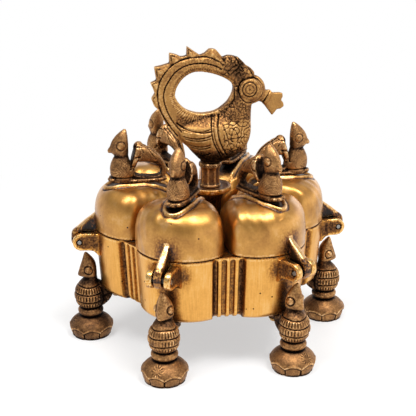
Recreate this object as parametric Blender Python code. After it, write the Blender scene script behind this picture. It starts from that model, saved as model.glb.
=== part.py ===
"""Brass sindoor box: six cups in one cast tray, six hinged domed lids, six bird legs and a peacock handle.

Metres, +Z up. The origin is on the table, under the middle of the box. +X is the way the peacock faces
and the direction of lobe 1; lobes 2 to 6 follow anticlockwise seen from above.
In a lobe's own plane, u is the distance from the box's axis, v runs sideways and z is the height.
"""

import math

import bmesh
import bpy
from mathutils import Matrix, Vector

MM = 0.001

# Shared by the whole object
LOBES = 6
SEAT_GAP = 0.3 * MM  # between two pieces that rest on each other or pass through each other
CUT_OVERRUN = 1.5 * MM  # how far a cutter runs past the face that it cuts
ROOT_SINK = 0.9 * MM  # how deep the root of a lug is buried in the wall that it grows from
RIM_CLEAR = 0.05 * MM  # keeps the face of a lug off the plane of the rim beside it
WELD = 0.001 * MM
POINT_SHARE = 0.25  # the tip's radius on a pointed beak, as a share of the radius at its root

# Tray: six round lobes joined by flat ribbed strips
TRAY_FOOT_Z = 21.1 * MM
TRAY_DEPTH = 26.15 * MM
LOBE_CENTRE_R = 28.0 * MM
LOBE_RADIUS = 19.7 * MM
STRIP_HALF = 7.0 * MM
STRIP_STEP = 1.2 * MM
STRIP_FLOOR_R = 39.6 * MM
RIB_COUNT = 3
RIB_PITCH = 3.3 * MM
RIB_FOOT = 1.4 * MM
RIB_CREST = 0.8 * MM
RIB_HEIGHT = 1.2 * MM
WALL = 1.8 * MM
WALL_TAPER = 1.6 * MM
FOOT_EDGE = 3.0 * MM
FLOOR = 2.0 * MM
PARTITION = 3.0 * MM
HUB_R = 11.0 * MM
CUP_EDGE = 1.8 * MM

# Lids
LID_HEIGHT = 18.6 * MM
LID_WALL = 1.4 * MM
LID_SIDE_GAP = 1.0 * MM
LID_INNER_R = 9.2 * MM
LID_DROP = 6.8 * MM
PETAL_CORNER_POWER = 14.0
LID_CROWN_POWER = 4.0
LID_DROP_POWER = 1.5

# Hinges: two ears on the cup, a tongue on the lid, and a pin
HINGE_OUT = 6.8 * MM
HINGE_DROP = 4.45 * MM
PIN_D = 2.0 * MM
PIN_RECESS = 0.2 * MM
PIN_CHAMFER = 0.25 * MM
EAR_HALF_HEIGHT = 3.6 * MM
EAR_END = 2.7 * MM
EAR_THICK = 2.6 * MM
EAR_SPACE = 4.7 * MM
TONGUE_THICK = 3.0 * MM
TONGUE_R = 3.1 * MM
TONGUE_NOSE = 2.6 * MM
TONGUE_NOSE_RISE = 4.3 * MM
TONGUE_RISE = 6.7 * MM
TONGUE_WALL_GAP = 0.4 * MM

# Lid birds, and the screws that hold them
BIRD_SETBACK = 6.1 * MM
BIRD_LONG = 23.6 * MM
BIRD_TALL = 20.0 * MM
BIRD_WIDE = 7.6 * MM
BIRD_BASE = 1.7 * MM
BIRD_TAIL_WIDE = 5.6 * MM
BIRD_FAN_WIDE = 8.0 * MM
BIRD_BEAK_R = 1.6 * MM
SCREW_SETBACK = 13.2 * MM
SCREW_D = 2.0 * MM
SCREW_REACH = 4.5 * MM
SCREW_HEAD_D = 4.6 * MM
SCREW_HEAD = 1.2 * MM
SCREW_SLOT = 0.7 * MM
SCREW_SLOT_DEPTH = 0.5 * MM

# Legs: a lobed foot, a beaded bulb, a bird's head, and a tail riveted under the tray
LEG_HEAD_ROOM = 2.1 * MM
FOOT_R = 9.1 * MM
LEG_PETALS = 8
LEG_WALL_GAP = 0.45 * MM
LEG_BEAK_R = 1.5 * MM
TAIL_WIDE = 5.0 * MM
TAIL_REACH = 10.4 * MM
TAIL_THICK = 2.6 * MM
TAIL_END_THICK = 1.75 * MM
TAIL_ROOT_DROP = 1.4 * MM
RIVET_SETBACK = 6.3 * MM
RIVET_D = 2.4 * MM
RIVET_HEAD_D = 4.6 * MM
RIVET_CROWN_D = 3.2 * MM
RIVET_HEAD = 1.2 * MM

# Middle: disc and post, octagonal stem, washer and nut
DISC_LIFT = 1.65 * MM
DISC_R = 8.6 * MM
DISC_THICK = 2.3 * MM
POST_R = 5.6 * MM
STEM_D = 7.7 * MM
STEM_HEIGHT = 8.5 * MM
STEM_SIDES = 8
STEM_COLLAR_R = 4.6 * MM
STEM_COLLAR = 0.9 * MM
SPIGOT_D = 5.0 * MM
SPIGOT_TAIL = 1.0 * MM
TENON_D = 3.6 * MM
TENON_REACH = 5.5 * MM
WASHER_R = 5.8 * MM
WASHER_THICK = 1.2 * MM
NUT_ACROSS_CORNERS = 9.2 * MM
NUT_THICK = 3.6 * MM

# Peacock
PEACOCK_REACH = 30.0 * MM
PEACOCK_TALL = 47.2 * MM
RING_THICK = 5.0 * MM
BODY_HALF = 7.6 * MM
NECK_HALF = 4.9 * MM
HEAD_R = 6.2 * MM
HEAD_HALF = 5.0 * MM
EYE_R = 2.7 * MM
EYE_PROUD = 0.5 * MM
LEAF_THICK = 2.6 * MM
BEAK_R = 2.6 * MM
BEAK_TIP_R = 2.1 * MM

# Worked out from the sizes above
STEP = 2 * math.pi / LOBES
TIP_R = LOBE_CENTRE_R + LOBE_RADIUS
RIM_Z = TRAY_FOOT_Z + TRAY_DEPTH
FLOOR_Z = TRAY_FOOT_Z + FLOOR
LID_RIM_Z = RIM_Z + SEAT_GAP
LID_TOP_Z = LID_RIM_Z + LID_HEIGHT
HINGE_R = TIP_R + HINGE_OUT
HINGE_Z = RIM_Z - HINGE_DROP
BORE_D = PIN_D + 2 * SEAT_GAP
BIRD_FRONT = TIP_R - BIRD_SETBACK
BIRD_BACK = BIRD_FRONT - BIRD_LONG
BIRD_UNDER_Z = LID_TOP_Z + SEAT_GAP
BIRD_Z = BIRD_UNDER_Z + BIRD_BASE
SCREW_R = TIP_R - SCREW_SETBACK
LEG_TALL = HINGE_Z - EAR_HALF_HEIGHT - LEG_HEAD_ROOM
RIVET_R = TIP_R - WALL_TAPER - RIVET_SETBACK
TAIL_TOP_Z = TRAY_FOOT_Z - SEAT_GAP
DISC_Z = LID_TOP_Z - LID_DROP + DISC_LIFT
STEM_Z = DISC_Z + DISC_THICK + SEAT_GAP
PEACOCK_Z = STEM_Z + STEM_HEIGHT + STEM_COLLAR + SEAT_GAP

# Steps round curved shapes, turns in degrees from a dome's rim to its crown, and the smallest sharp angle
BEAK_STEPS = 6
NUT_SIDES = 6
OVAL_STEPS = 10
NECK_STEPS = 16
PETAL_STEPS = 24
LOBE_ARC_STEPS = 10
END_ARC_STEPS = 5
BORE_STEPS = 12
ROUND_STEPS = 24
LEG_STEPS = 2 * LEG_PETALS
DOME_TURNS = (0, 26, 44, 58, 72, 83)
HOLLOW_TURNS = (0, 38, 62, 77)
SHARP_ANGLE = 32

# Lid bird's body from base to crest: shares of its height, then where its back and front lie along
# its length, then its half width as a share of its full width
BIRD_BODY_SHARES = (
    (-0.03, 0.56, 0.93, 0.44),
    (0.10, 0.54, 0.96, 0.49),
    (0.25, 0.57, 0.97, 0.50),
    (0.36, 0.63, 0.955, 0.45),
    (0.48, 0.685, 0.915, 0.36),
    (0.61, 0.685, 0.92, 0.40),
    (0.70, 0.68, 0.92, 0.43),
    (0.80, 0.69, 0.875, 0.40),
    (0.90, 0.71, 0.82, 0.27),
    (1.00, 0.73, 0.77, 0.10),
)

# Its base from the tail forwards: share of its length, then half width as a share of the full width
BIRD_BASE_SHARES = (
    (0.0, 0.30), (0.08, 0.44), (0.17, 0.48), (0.28, 0.50),
    (0.41, 0.50), (0.85, 0.50), (0.96, 0.40), (1.0, 0.24),
)

# The rest of it: shares of its length and of its height
BIRD_BEAK_SHARES = ((0.87, 0.635), (1.0, 0.55))
BIRD_TAIL_SHARES = (
    (0.02, -0.04), (0.008, 0.20), (0.08, 0.43), (0.18, 0.54), (0.38, 0.635), (0.45, 0.71),
    (0.51, 0.68), (0.55, 0.48), (0.585, 0.31), (0.69, 0.18), (0.69, -0.04),
)
BIRD_LOOP_SHARES = (
    (0.12, 0.06), (0.125, 0.22), (0.20, 0.305), (0.38, 0.305),
    (0.46, 0.20), (0.475, 0.08), (0.40, 0.04), (0.17, 0.04),
)
BIRD_FAN_SHARES = (
    (0.614, 0.345), (0.522, 0.74), (0.455, 0.765), (0.39, 0.715), (0.435, 0.45), (0.52, 0.175), (0.61, 0.13),
)

# Leg from foot to hood: share of its height, then reach inwards, outwards and sideways as shares of the
# foot's radius, then how deep the foot's petals are cut as a share
LEG_SHARES = (
    (0.0, 0.90, 0.90, 0.90, 0.05),
    (0.085, 1.0, 1.0, 1.0, 0.07),
    (0.155, 0.90, 0.90, 0.90, 0.05),
    (0.215, 0.65, 0.65, 0.65, 0.0),
    (0.245, 0.43, 0.45, 0.44, 0.0),
    (0.275, 0.54, 0.56, 0.55, 0.0),
    (0.318, 0.54, 0.56, 0.55, 0.0),
    (0.350, 0.46, 0.54, 0.48, 0.0),
    (0.43, 0.585, 0.69, 0.63, 0.0),
    (0.51, 0.60, 0.71, 0.655, 0.0),
    (0.59, 0.52, 0.63, 0.58, 0.0),
    (0.67, 0.35, 0.41, 0.38, 0.0),
    (0.77, 0.30, 0.46, 0.41, 0.0),
    (0.83, 0.28, 0.44, 0.42, 0.0),
    (0.92, 0.15, 0.33, 0.28, 0.0),
    (1.0, -0.10, 0.19, 0.05, 0.0),
)
LEG_BACK_SHARE = 0.465
LEG_BEAK_SHARES = ((0.36, 0.80), (0.57, 0.715))

# Peacock: shares of its reach along X and of its height
PEACOCK_BODY_SHARES = (
    (0.0, -0.14, 0.153, 0.55),
    (0.038, -0.17, 0.31, 0.71),
    (0.091, -0.25, 0.445, 0.87),
    (0.154, -0.33, 0.51, 0.97),
    (0.228, -0.45, 0.545, 1.0),
    (0.302, -0.455, 0.55, 0.92),
    (0.365, -0.37, 0.543, 0.76),
    (0.409, -0.23, 0.53, 0.55),
)
PEACOCK_NECK_SHARES = (
    (0.33, 0.02, 0.548, 1.0),
    (0.42, 0.10, 0.548, 1.0),
    (0.50, 0.20, 0.55, 0.96),
    (0.58, 0.31, 0.60, 0.90),
    (0.66, 0.34, 0.60, 0.70),
)
PEACOCK_PLATE_SHARES = (
    (-0.15, 0.03), (-0.31, 0.146), (-0.473, 0.232), (-0.57, 0.314), (-0.703, 0.477),
    (-0.787, 0.568), (-0.74, 0.612), (-0.797, 0.70), (-0.71, 0.724), (-0.747, 0.833),
    (-0.563, 0.852), (-0.54, 0.947), (-0.363, 0.916), (-0.283, 1.0), (-0.147, 0.924),
    (-0.01, 0.97), (0.067, 0.968), (0.157, 0.895), (0.28, 0.907), (0.373, 0.895),
    (0.467, 0.829), (0.547, 0.80), (0.587, 0.749), (0.62, 0.60), (0.54, 0.45),
    (0.50, 0.17), (0.30, 0.06),
)
PEACOCK_RING_SHARES = (
    (-0.48, 0.599), (-0.457, 0.658), (-0.38, 0.732), (-0.27, 0.778), (-0.15, 0.789),
    (0.003, 0.772), (0.143, 0.741), (0.253, 0.698), (0.303, 0.646), (0.293, 0.599),
    (0.24, 0.532), (0.16, 0.483), (0.053, 0.441), (-0.09, 0.428), (-0.213, 0.437),
    (-0.337, 0.468), (-0.427, 0.519),
)
PEACOCK_LEAF_SHARES = (
    (0.66, 0.56), (0.763, 0.612), (0.82, 0.61), (0.837, 0.58), (0.98, 0.576), (0.963, 0.521),
    (1.007, 0.466), (0.953, 0.441), (0.913, 0.443), (0.843, 0.386), (0.727, 0.487), (0.65, 0.52),
)
PEACOCK_HEAD_SHARES = (0.545, 0.62)
PEACOCK_BEAK_SHARES = ((0.70, 0.60), (0.80, 0.555))

# Finishes
BRASS_POLISHED = ((0.72, 0.47, 0.17), 0.28)
BRASS_DARK = ((0.42, 0.27, 0.11), 0.45)
BRASS_SCREW = ((0.62, 0.45, 0.20), 0.35)
STEEL = ((0.42, 0.41, 0.39), 0.35)


def clear_scene():
    """Remove whatever the scene holds."""
    for old in list(bpy.data.objects):
        bpy.data.objects.remove(old)


def new_collection(name):
    """A collection linked to the scene."""
    made = bpy.data.collections.new(name)
    bpy.context.scene.collection.children.link(made)
    return made


def metal(name, finish):
    """A metallic Principled material from a colour and a roughness."""
    colour, roughness = finish
    made = bpy.data.materials.new(name)
    made.use_nodes = True
    shader = made.node_tree.nodes["Principled BSDF"]
    shader.inputs["Base Color"].default_value = (*colour, 1.0)
    shader.inputs["Metallic"].default_value = 1.0
    shader.inputs["Roughness"].default_value = roughness
    return made


def mesh_object(name, mesh, collection):
    """An object for a mesh, in a collection."""
    made = bpy.data.objects.new(name, mesh)
    collection.objects.link(made)
    return made


def mesh_from(bm, name):
    """Turn a bmesh into a mesh with its faces pointing out."""
    bmesh.ops.recalc_face_normals(bm, faces=bm.faces)
    mesh = bpy.data.meshes.new(name)
    bm.to_mesh(mesh)
    bm.free()
    return mesh


def skin(bm, rows):
    """Join neighbouring rows of vertices with triangles, so that every face is flat."""
    count = len(rows[0])
    for low, high in zip(rows, rows[1:]):
        for i in range(count):
            j = (i + 1) % count
            bm.faces.new((low[i], low[j], high[j]))
            bm.faces.new((low[i], high[j], high[i]))


def loft(name, rings):
    """Skin a row of rings that have equal point counts, and close both ends flat."""
    bm = bmesh.new()
    rows = [[bm.verts.new(point) for point in ring] for ring in rings]
    skin(bm, rows)
    bm.faces.new(reversed(rows[0]))
    bm.faces.new(rows[-1])
    return mesh_from(bm, name)


def turned(name, profile, steps=BORE_STEPS, bored=False):
    """A solid of revolution about Z from (radius, height) points. A bored one's profile closes on itself."""
    rings = [oval(-radius, radius, radius, height, steps) for radius, height in profile]
    if not bored:
        return loft(name, rings)
    bm = bmesh.new()
    rows = [[bm.verts.new(point) for point in ring] for ring in rings]
    skin(bm, [*rows, rows[0]])
    return mesh_from(bm, name)


def plate(name, outlines, thickness):
    """A flat plate in the XZ plane, from an outline and any holes given as (x, z) points."""
    curve = bpy.data.curves.new(name, "CURVE")
    curve.dimensions = "2D"
    curve.fill_mode = "BOTH"
    curve.extrude = thickness / 2
    for outline in outlines:
        spline = curve.splines.new("POLY")
        spline.points.add(len(outline) - 1)
        for point, (x, z) in zip(spline.points, outline):
            point.co = (x, z, 0, 1)
        spline.use_cyclic_u = True
    flat = bpy.data.objects.new(name, curve)
    bpy.context.scene.collection.objects.link(flat)
    flat.rotation_euler.x = math.pi / 2
    bpy.context.view_layer.update()
    graph = bpy.context.evaluated_depsgraph_get()
    mesh = bpy.data.meshes.new_from_object(flat.evaluated_get(graph))
    mesh.transform(flat.matrix_world)
    bpy.data.objects.remove(flat)
    bm = bmesh.new()
    bm.from_mesh(mesh)
    bmesh.ops.remove_doubles(bm, verts=bm.verts, dist=WELD)
    bpy.data.meshes.remove(mesh)
    return mesh_from(bm, name)


def rod(name, radius, start, end, steps=BORE_STEPS, tip_radius=None):
    """A cylinder, or a cone where tip_radius is given, between two points."""
    start = Vector(start)
    along = Vector(end) - start
    bm = bmesh.new()
    bmesh.ops.create_cone(
        bm,
        cap_ends=True,
        segments=steps,
        radius1=radius,
        radius2=radius if tip_radius is None else tip_radius,
        depth=along.length,
        matrix=Matrix.Translation(start + along / 2) @ along.to_track_quat("Z", "Y").to_matrix().to_4x4(),
    )
    return mesh_from(bm, name)


def ball(name, centre, radii, steps=OVAL_STEPS):
    """An ellipsoid with its three half axes along X, Y and Z."""
    bm = bmesh.new()
    placed = Matrix.Translation(Vector(centre)) @ Matrix.Diagonal((*radii, 1.0))
    bmesh.ops.create_uvsphere(bm, u_segments=steps, v_segments=steps // 2 + 2, radius=1.0, matrix=placed)
    return mesh_from(bm, name)


def oval(back, front, half_width, height, steps=OVAL_STEPS, petal_cut=0.0):
    """A level ring from back to front along X; petal_cut pulls every second point in by that share."""
    middle = (back + front) / 2
    half = (front - back) / 2
    points = []
    for i in range(steps):
        angle = 2 * math.pi * i / steps
        reach = 1 - petal_cut * (i % 2)
        x = middle + half * reach * math.cos(angle)
        points.append((x, half_width * reach * math.sin(angle), height))
    return points


def apply_booleans(target, tools, operation, collection):
    """Add one Boolean modifier to target for each tool mesh, and keep the tools as wire cutters."""
    for tool in tools:
        cutter = mesh_object(f"{target.name}_{operation.lower()}_{tool.name}", tool, collection)
        cutter.hide_render = True
        cutter.display_type = "WIRE"
        modifier = target.modifiers.new(tool.name, "BOOLEAN")
        modifier.operation = operation
        modifier.solver = "EXACT"
        modifier.object = cutter


def settle(target):
    """The target's mesh with its modifiers in it. The target and its cutters are then removed."""
    bpy.context.view_layer.update()
    graph = bpy.context.evaluated_depsgraph_get()
    mesh = bpy.data.meshes.new_from_object(target.evaluated_get(graph))
    cutters = [modifier.object for modifier in target.modifiers if modifier.type == "BOOLEAN"]
    for spent in [*cutters, target]:
        bpy.data.objects.remove(spent)
    return mesh


def finish(mesh, material):
    """Give a mesh its material, smooth its round faces and keep its edges sharp."""
    mesh.materials.clear()
    mesh.materials.append(material)
    mesh.shade_smooth()
    mesh.set_sharp_from_angle(angle=math.radians(SHARP_ANGLE))


def turned_to_lobe(points, lobe_angle):
    """Turn (x, y) points about the box's axis."""
    c, s = math.cos(lobe_angle), math.sin(lobe_angle)
    return [(x * c - y * s, x * s + y * c) for x, y in points]


def petal(radius, side_gap, inner_r, steps=PETAL_STEPS):
    """One cup's outline seen from above: a circle about the lobe's centre, cut off by the two sector lines
    and by a line across its inner end. The power mean of the three distances rounds the corners."""
    sector = STEP / 2
    to_side = LOBE_CENTRE_R * math.sin(sector) - side_gap
    points = []
    for i in range(steps):
        angle = 2 * math.pi * i / steps
        turn = min(angle, 2 * math.pi - angle)
        near = [radius]
        if turn > sector:
            near.append(to_side / math.sin(turn - sector))
        if turn > math.pi / 2:
            near.append((LOBE_CENTRE_R - inner_r) / -math.cos(turn))
        reach = sum((radius / d) ** PETAL_CORNER_POWER for d in near) ** (-1 / PETAL_CORNER_POWER) * radius
        points.append((LOBE_CENTRE_R + reach * math.cos(angle), reach * math.sin(angle)))
    return points


def lid_crown_z(u):
    """The crown's height above the rim at distance u: level outside the lobe's centre, lower inside."""
    inside = max(0.0, (LOBE_CENTRE_R - u) / (LOBE_CENTRE_R - LID_INNER_R))
    return LID_HEIGHT - LID_DROP * min(1.0, inside) ** LID_DROP_POWER


def lid_top_z(u):
    """Height of the lid's outer surface over the lobe's centre line."""
    if u > LOBE_CENTRE_R:
        share = (u - LOBE_CENTRE_R) / LOBE_RADIUS
    else:
        share = (LOBE_CENTRE_R - u) / (LOBE_CENTRE_R - LID_INNER_R)
    share = min(1.0, share)
    return LID_RIM_Z + lid_crown_z(u) * (1 - share**LID_CROWN_POWER) ** (1 / LID_CROWN_POWER)


def dome_rings(outline, wall, turns):
    """Rings of the lid's dome, from the rim up. The outline shrinks towards the lobe's centre along a
    superellipse, and the height follows the crown less the wall's thickness."""
    rings = []
    for turn in turns:
        out = math.cos(math.radians(turn)) ** (2 / LID_CROWN_POWER)
        up = math.sin(math.radians(turn)) ** (2 / LID_CROWN_POWER)
        ring = []
        for x, y in outline:
            u = LOBE_CENTRE_R + (x - LOBE_CENTRE_R) * out
            ring.append((u, y * out, LID_RIM_Z + (lid_crown_z(u) - wall) * up))
        rings.append(ring)
    return rings


def dome_shell(name):
    """The lid's domed shell: outer and inner surface, joined round the rim and closed at their crowns."""
    outer = dome_rings(petal(LOBE_RADIUS, LID_SIDE_GAP, LID_INNER_R), 0.0, DOME_TURNS)
    inner_outline = petal(LOBE_RADIUS - LID_WALL, LID_SIDE_GAP + LID_WALL, LID_INNER_R + LID_WALL)
    inner = dome_rings(inner_outline, LID_WALL, HOLLOW_TURNS)
    crown = (LOBE_CENTRE_R, 0, LID_TOP_Z)
    hollow_crown = (LOBE_CENTRE_R, 0, LID_TOP_Z - LID_WALL)
    bm = bmesh.new()
    rows = [[bm.verts.new(p) for p in ring] for ring in inner[::-1] + outer]
    skin(bm, rows)
    for row, point in ((rows[0], hollow_crown), (rows[-1], crown)):
        top = bm.verts.new(point)
        for i in range(PETAL_STEPS):
            bm.faces.new((row[i], row[(i + 1) % PETAL_STEPS], top))
    return mesh_from(bm, name)


def tray_outline():
    """The tray's plan: six lobe arcs, and between them flat strips that carry upright ribs."""
    half = STEP / 2
    arc_half = half + math.asin((LOBE_CENTRE_R * math.sin(half) - STRIP_HALF) / LOBE_RADIUS)
    strip = [(STRIP_FLOOR_R, -STRIP_HALF + STRIP_STEP)]
    for rib in range(RIB_COUNT):
        middle = (rib - (RIB_COUNT - 1) / 2) * RIB_PITCH
        strip += [
            (STRIP_FLOOR_R, middle - RIB_FOOT / 2),
            (STRIP_FLOOR_R + RIB_HEIGHT, middle - RIB_CREST / 2),
            (STRIP_FLOOR_R + RIB_HEIGHT, middle + RIB_CREST / 2),
            (STRIP_FLOOR_R, middle + RIB_FOOT / 2),
        ]
    strip.append((STRIP_FLOOR_R, STRIP_HALF - STRIP_STEP))
    outline = []
    for lobe in range(LOBES):
        turns = [arc_half * (2 * i / LOBE_ARC_STEPS - 1) for i in range(LOBE_ARC_STEPS + 1)]
        arc = [(LOBE_CENTRE_R + LOBE_RADIUS * math.cos(a), LOBE_RADIUS * math.sin(a)) for a in turns]
        outline += turned_to_lobe(arc, lobe * STEP)
        outline += turned_to_lobe(strip, (lobe + 0.5) * STEP)
    return outline


def tray_body(name):
    """The tray's solid block: a rounded foot, and walls that lean out towards the rim."""
    outline = tray_outline()
    lean = math.sqrt(0.5)
    levels = (
        (TRAY_FOOT_Z, WALL_TAPER + FOOT_EDGE),
        (TRAY_FOOT_Z + FOOT_EDGE * (1 - lean), WALL_TAPER + FOOT_EDGE * (1 - lean)),
        (TRAY_FOOT_Z + FOOT_EDGE, WALL_TAPER),
        (RIM_Z, 0.0),
    )
    rings = []
    for z, inset in levels:
        size = (TIP_R - inset) / TIP_R
        rings.append([(x * size, y * size, z) for x, y in outline])
    return loft(name, rings)


def cup_hollow(name, lobe):
    """The space inside one cup, with an edge eased round its floor."""
    levels = (
        (FLOOR_Z, WALL_TAPER + CUP_EDGE, CUP_EDGE),
        (FLOOR_Z + CUP_EDGE, WALL_TAPER, 0.0),
        (RIM_Z + CUT_OVERRUN, 0.0, 0.0),
    )
    rings = []
    for z, inset, edge in levels:
        outline = petal(LOBE_RADIUS - WALL - inset, PARTITION / 2 + edge, HUB_R + edge)
        rings.append([(x, y, z) for x, y in turned_to_lobe(outline, lobe * STEP)])
    return loft(name, rings)


def arc_points(centre, radius, start, end, steps=END_ARC_STEPS):
    """Points on an arc in the XZ plane, with angles in degrees."""
    angles = [math.radians(start + (end - start) * i / steps) for i in range(steps + 1)]
    return [(centre[0] + radius * math.cos(a), centre[1] + radius * math.sin(a)) for a in angles]


def ear_pair(lobe):
    """The two hinge ears of one cup, each a plate with a round end."""
    lean = WALL_TAPER * (HINGE_DROP + EAR_HALF_HEIGHT) / TRAY_DEPTH
    root = TIP_R - lean - ROOT_SINK
    end = arc_points((HINGE_R + EAR_END - EAR_HALF_HEIGHT, HINGE_Z), EAR_HALF_HEIGHT, -90, 90)
    outline = [(root, HINGE_Z - EAR_HALF_HEIGHT), *end, (root, HINGE_Z + EAR_HALF_HEIGHT)]
    ears = []
    for side in (-1, 1):
        ear = plate(f"ear_{lobe + 1}_{'left' if side < 0 else 'right'}", [outline], EAR_THICK)
        ear.transform(Matrix.Translation((0, side * (EAR_SPACE + EAR_THICK) / 2, 0)))
        ear.transform(Matrix.Rotation(lobe * STEP, 4, "Z"))
        ears.append(ear)
    return ears


def pin_bore(name, lobe, span):
    """The cutter for a hinge pin's bore, square to the lobe."""
    bore = rod(name, BORE_D / 2, (HINGE_R, -span / 2, HINGE_Z), (HINGE_R, span / 2, HINGE_Z))
    bore.transform(Matrix.Rotation(lobe * STEP, 4, "Z"))
    return bore


def upright_bore(name, lobe, u, diameter, low, high):
    """The cutter for an upright bore at distance u on a lobe's centre line."""
    bore = rod(name, diameter / 2, (u, 0, low), (u, 0, high))
    bore.transform(Matrix.Rotation(lobe * STEP, 4, "Z"))
    return bore


def make_tray(parts, cutters, material):
    """One casting: walls, floor, partitions, middle hub, ribs and hinge ears."""
    tray = mesh_object("cup_tray", tray_body("cup_tray"), parts)
    ears = [ear for lobe in range(LOBES) for ear in ear_pair(lobe)]
    apply_booleans(tray, ears, "UNION", cutters)
    cuts = [cup_hollow(f"cup_{lobe + 1}", lobe) for lobe in range(LOBES)]
    span = EAR_SPACE + 2 * EAR_THICK + 2 * CUT_OVERRUN
    cuts += [pin_bore(f"pin_bore_{lobe + 1}", lobe, span) for lobe in range(LOBES)]
    under, over = TRAY_FOOT_Z - CUT_OVERRUN, FLOOR_Z + CUT_OVERRUN
    for lobe in range(LOBES):
        bore = upright_bore(f"rivet_bore_{lobe + 1}", lobe, RIVET_R, RIVET_D + 2 * SEAT_GAP, under, over)
        cuts.append(bore)
    cuts.append(upright_bore("stem_bore", 0, 0.0, SPIGOT_D + 2 * SEAT_GAP, under, RIM_Z + CUT_OVERRUN))
    apply_booleans(tray, cuts, "DIFFERENCE", cutters)
    finish(tray.data, material)
    return tray


def lid_tongue(name):
    """The fin that slopes from the dome over the pin, with a round end about the pin."""
    root = TIP_R - ROOT_SINK
    nose = (HINGE_R + TONGUE_NOSE, HINGE_Z + TONGUE_NOSE_RISE)
    heel = arc_points((HINGE_R, HINGE_Z), TONGUE_R, 20, -135)
    throat = (TIP_R + TONGUE_WALL_GAP, LID_RIM_Z)
    low_root = (root, LID_RIM_Z + RIM_CLEAR)
    outline = [(root, LID_RIM_Z + TONGUE_RISE), nose, *heel, throat, low_root]
    return plate(name, [outline], TONGUE_THICK)


def lid_shape(cutters):
    """One lid's mesh, with its hinge pin's axis as the origin."""
    master = mesh_object("lid", dome_shell("lid"), cutters)
    apply_booleans(master, [lid_tongue("tongue")], "UNION", cutters)
    bore = pin_bore("bore", 0, TONGUE_THICK + 2 * CUT_OVERRUN)
    low = LID_TOP_Z - LID_WALL - CUT_OVERRUN
    screw_bore = upright_bore("screw", 0, SCREW_R, SCREW_D + 2 * SEAT_GAP, low, LID_TOP_Z + CUT_OVERRUN)
    apply_booleans(master, [bore, screw_bore], "DIFFERENCE", cutters)
    return settle(master)


def scaled(shares, origin, sizes):
    """Points from shares of a length and a height."""
    return [(origin[0] + x * sizes[0], origin[1] + z * sizes[1]) for x, z in shares]


def bird_shape(cutters):
    """One lid bird: base, body and head, beak, looped tail and upright fan."""
    origin, sizes = (BIRD_BACK, BIRD_Z), (BIRD_LONG, BIRD_TALL)
    rings = []
    for along, half in BIRD_BASE_SHARES:
        u = BIRD_BACK + along * BIRD_LONG
        under = lid_top_z(u) + SEAT_GAP if u < LOBE_CENTRE_R else BIRD_UNDER_Z
        w = half * BIRD_WIDE
        rings.append([(u, -w, under), (u, w, under), (u, w, BIRD_Z), (u, -w, BIRD_Z)])
    body = [
        oval(BIRD_BACK + b * BIRD_LONG, BIRD_BACK + f * BIRD_LONG, w * BIRD_WIDE, BIRD_Z + h * BIRD_TALL)
        for h, b, f, w in BIRD_BODY_SHARES
    ]
    (beak_u, beak_z), (tip_u, tip_z) = scaled(BIRD_BEAK_SHARES, origin, sizes)
    outlines = [scaled(BIRD_TAIL_SHARES, origin, sizes), scaled(BIRD_LOOP_SHARES, origin, sizes)]
    tip_radius = BIRD_BEAK_R * POINT_SHARE
    added = [
        loft("body", body),
        rod("beak", BIRD_BEAK_R, (beak_u, 0, beak_z), (tip_u, 0, tip_z), BEAK_STEPS, tip_radius),
        plate("tail", outlines, BIRD_TAIL_WIDE),
        plate("fan", [scaled(BIRD_FAN_SHARES, origin, sizes)], BIRD_FAN_WIDE),
    ]
    master = mesh_object("lid_bird", loft("lid_bird", rings), cutters)
    apply_booleans(master, added, "UNION", cutters)
    top = BIRD_UNDER_Z + SCREW_REACH + SEAT_GAP
    hole = upright_bore("screw_hole", 0, SCREW_R, SCREW_D + 2 * SEAT_GAP, BIRD_UNDER_Z - CUT_OVERRUN, top)
    apply_booleans(master, [hole], "DIFFERENCE", cutters)
    return settle(master)


def screw_shape(cutters):
    """A slotted screw that passes up through the lid into the bird."""
    head_top = lid_top_z(SCREW_R) - LID_WALL - SEAT_GAP
    head_low = head_top - SCREW_HEAD
    tip = BIRD_UNDER_Z + SCREW_REACH
    r, head_r = SCREW_D / 2, SCREW_HEAD_D / 2
    profile = [(head_r, head_low), (head_r, head_top), (r, head_top), (r, tip)]
    master = mesh_object("bird_screw", turned("bird_screw", profile), cutters)
    bm = bmesh.new()
    size = Matrix.Diagonal((SCREW_SLOT, SCREW_HEAD_D + CUT_OVERRUN, 2 * SCREW_SLOT_DEPTH, 1.0))
    bmesh.ops.create_cube(bm, size=1.0, matrix=Matrix.Translation((0, 0, head_low)) @ size)
    apply_booleans(master, [mesh_from(bm, "slot")], "DIFFERENCE", cutters)
    mesh = settle(master)
    mesh.transform(Matrix.Translation((SCREW_R, 0, 0)))
    return mesh


def make_lids(parts, cutters, metals):
    """Six lids with their birds and screws, each on an empty that sits on its hinge's axis."""
    shapes = {"lid": lid_shape(cutters), "lid_bird": bird_shape(cutters), "bird_screw": screw_shape(cutters)}
    for name, mesh in shapes.items():
        mesh.transform(Matrix.Translation((-HINGE_R, 0, -HINGE_Z)))
        finish(mesh, metals[name])
    for lobe in range(LOBES):
        angle = lobe * STEP
        axis = bpy.data.objects.new(f"hinge_axis_{lobe + 1}", None)
        parts.objects.link(axis)
        axis.location = (HINGE_R * math.cos(angle), HINGE_R * math.sin(angle), HINGE_Z)
        axis.rotation_euler.z = angle
        for name, mesh in shapes.items():
            mesh_object(f"{name}_{lobe + 1}", mesh, parts).parent = axis


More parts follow.
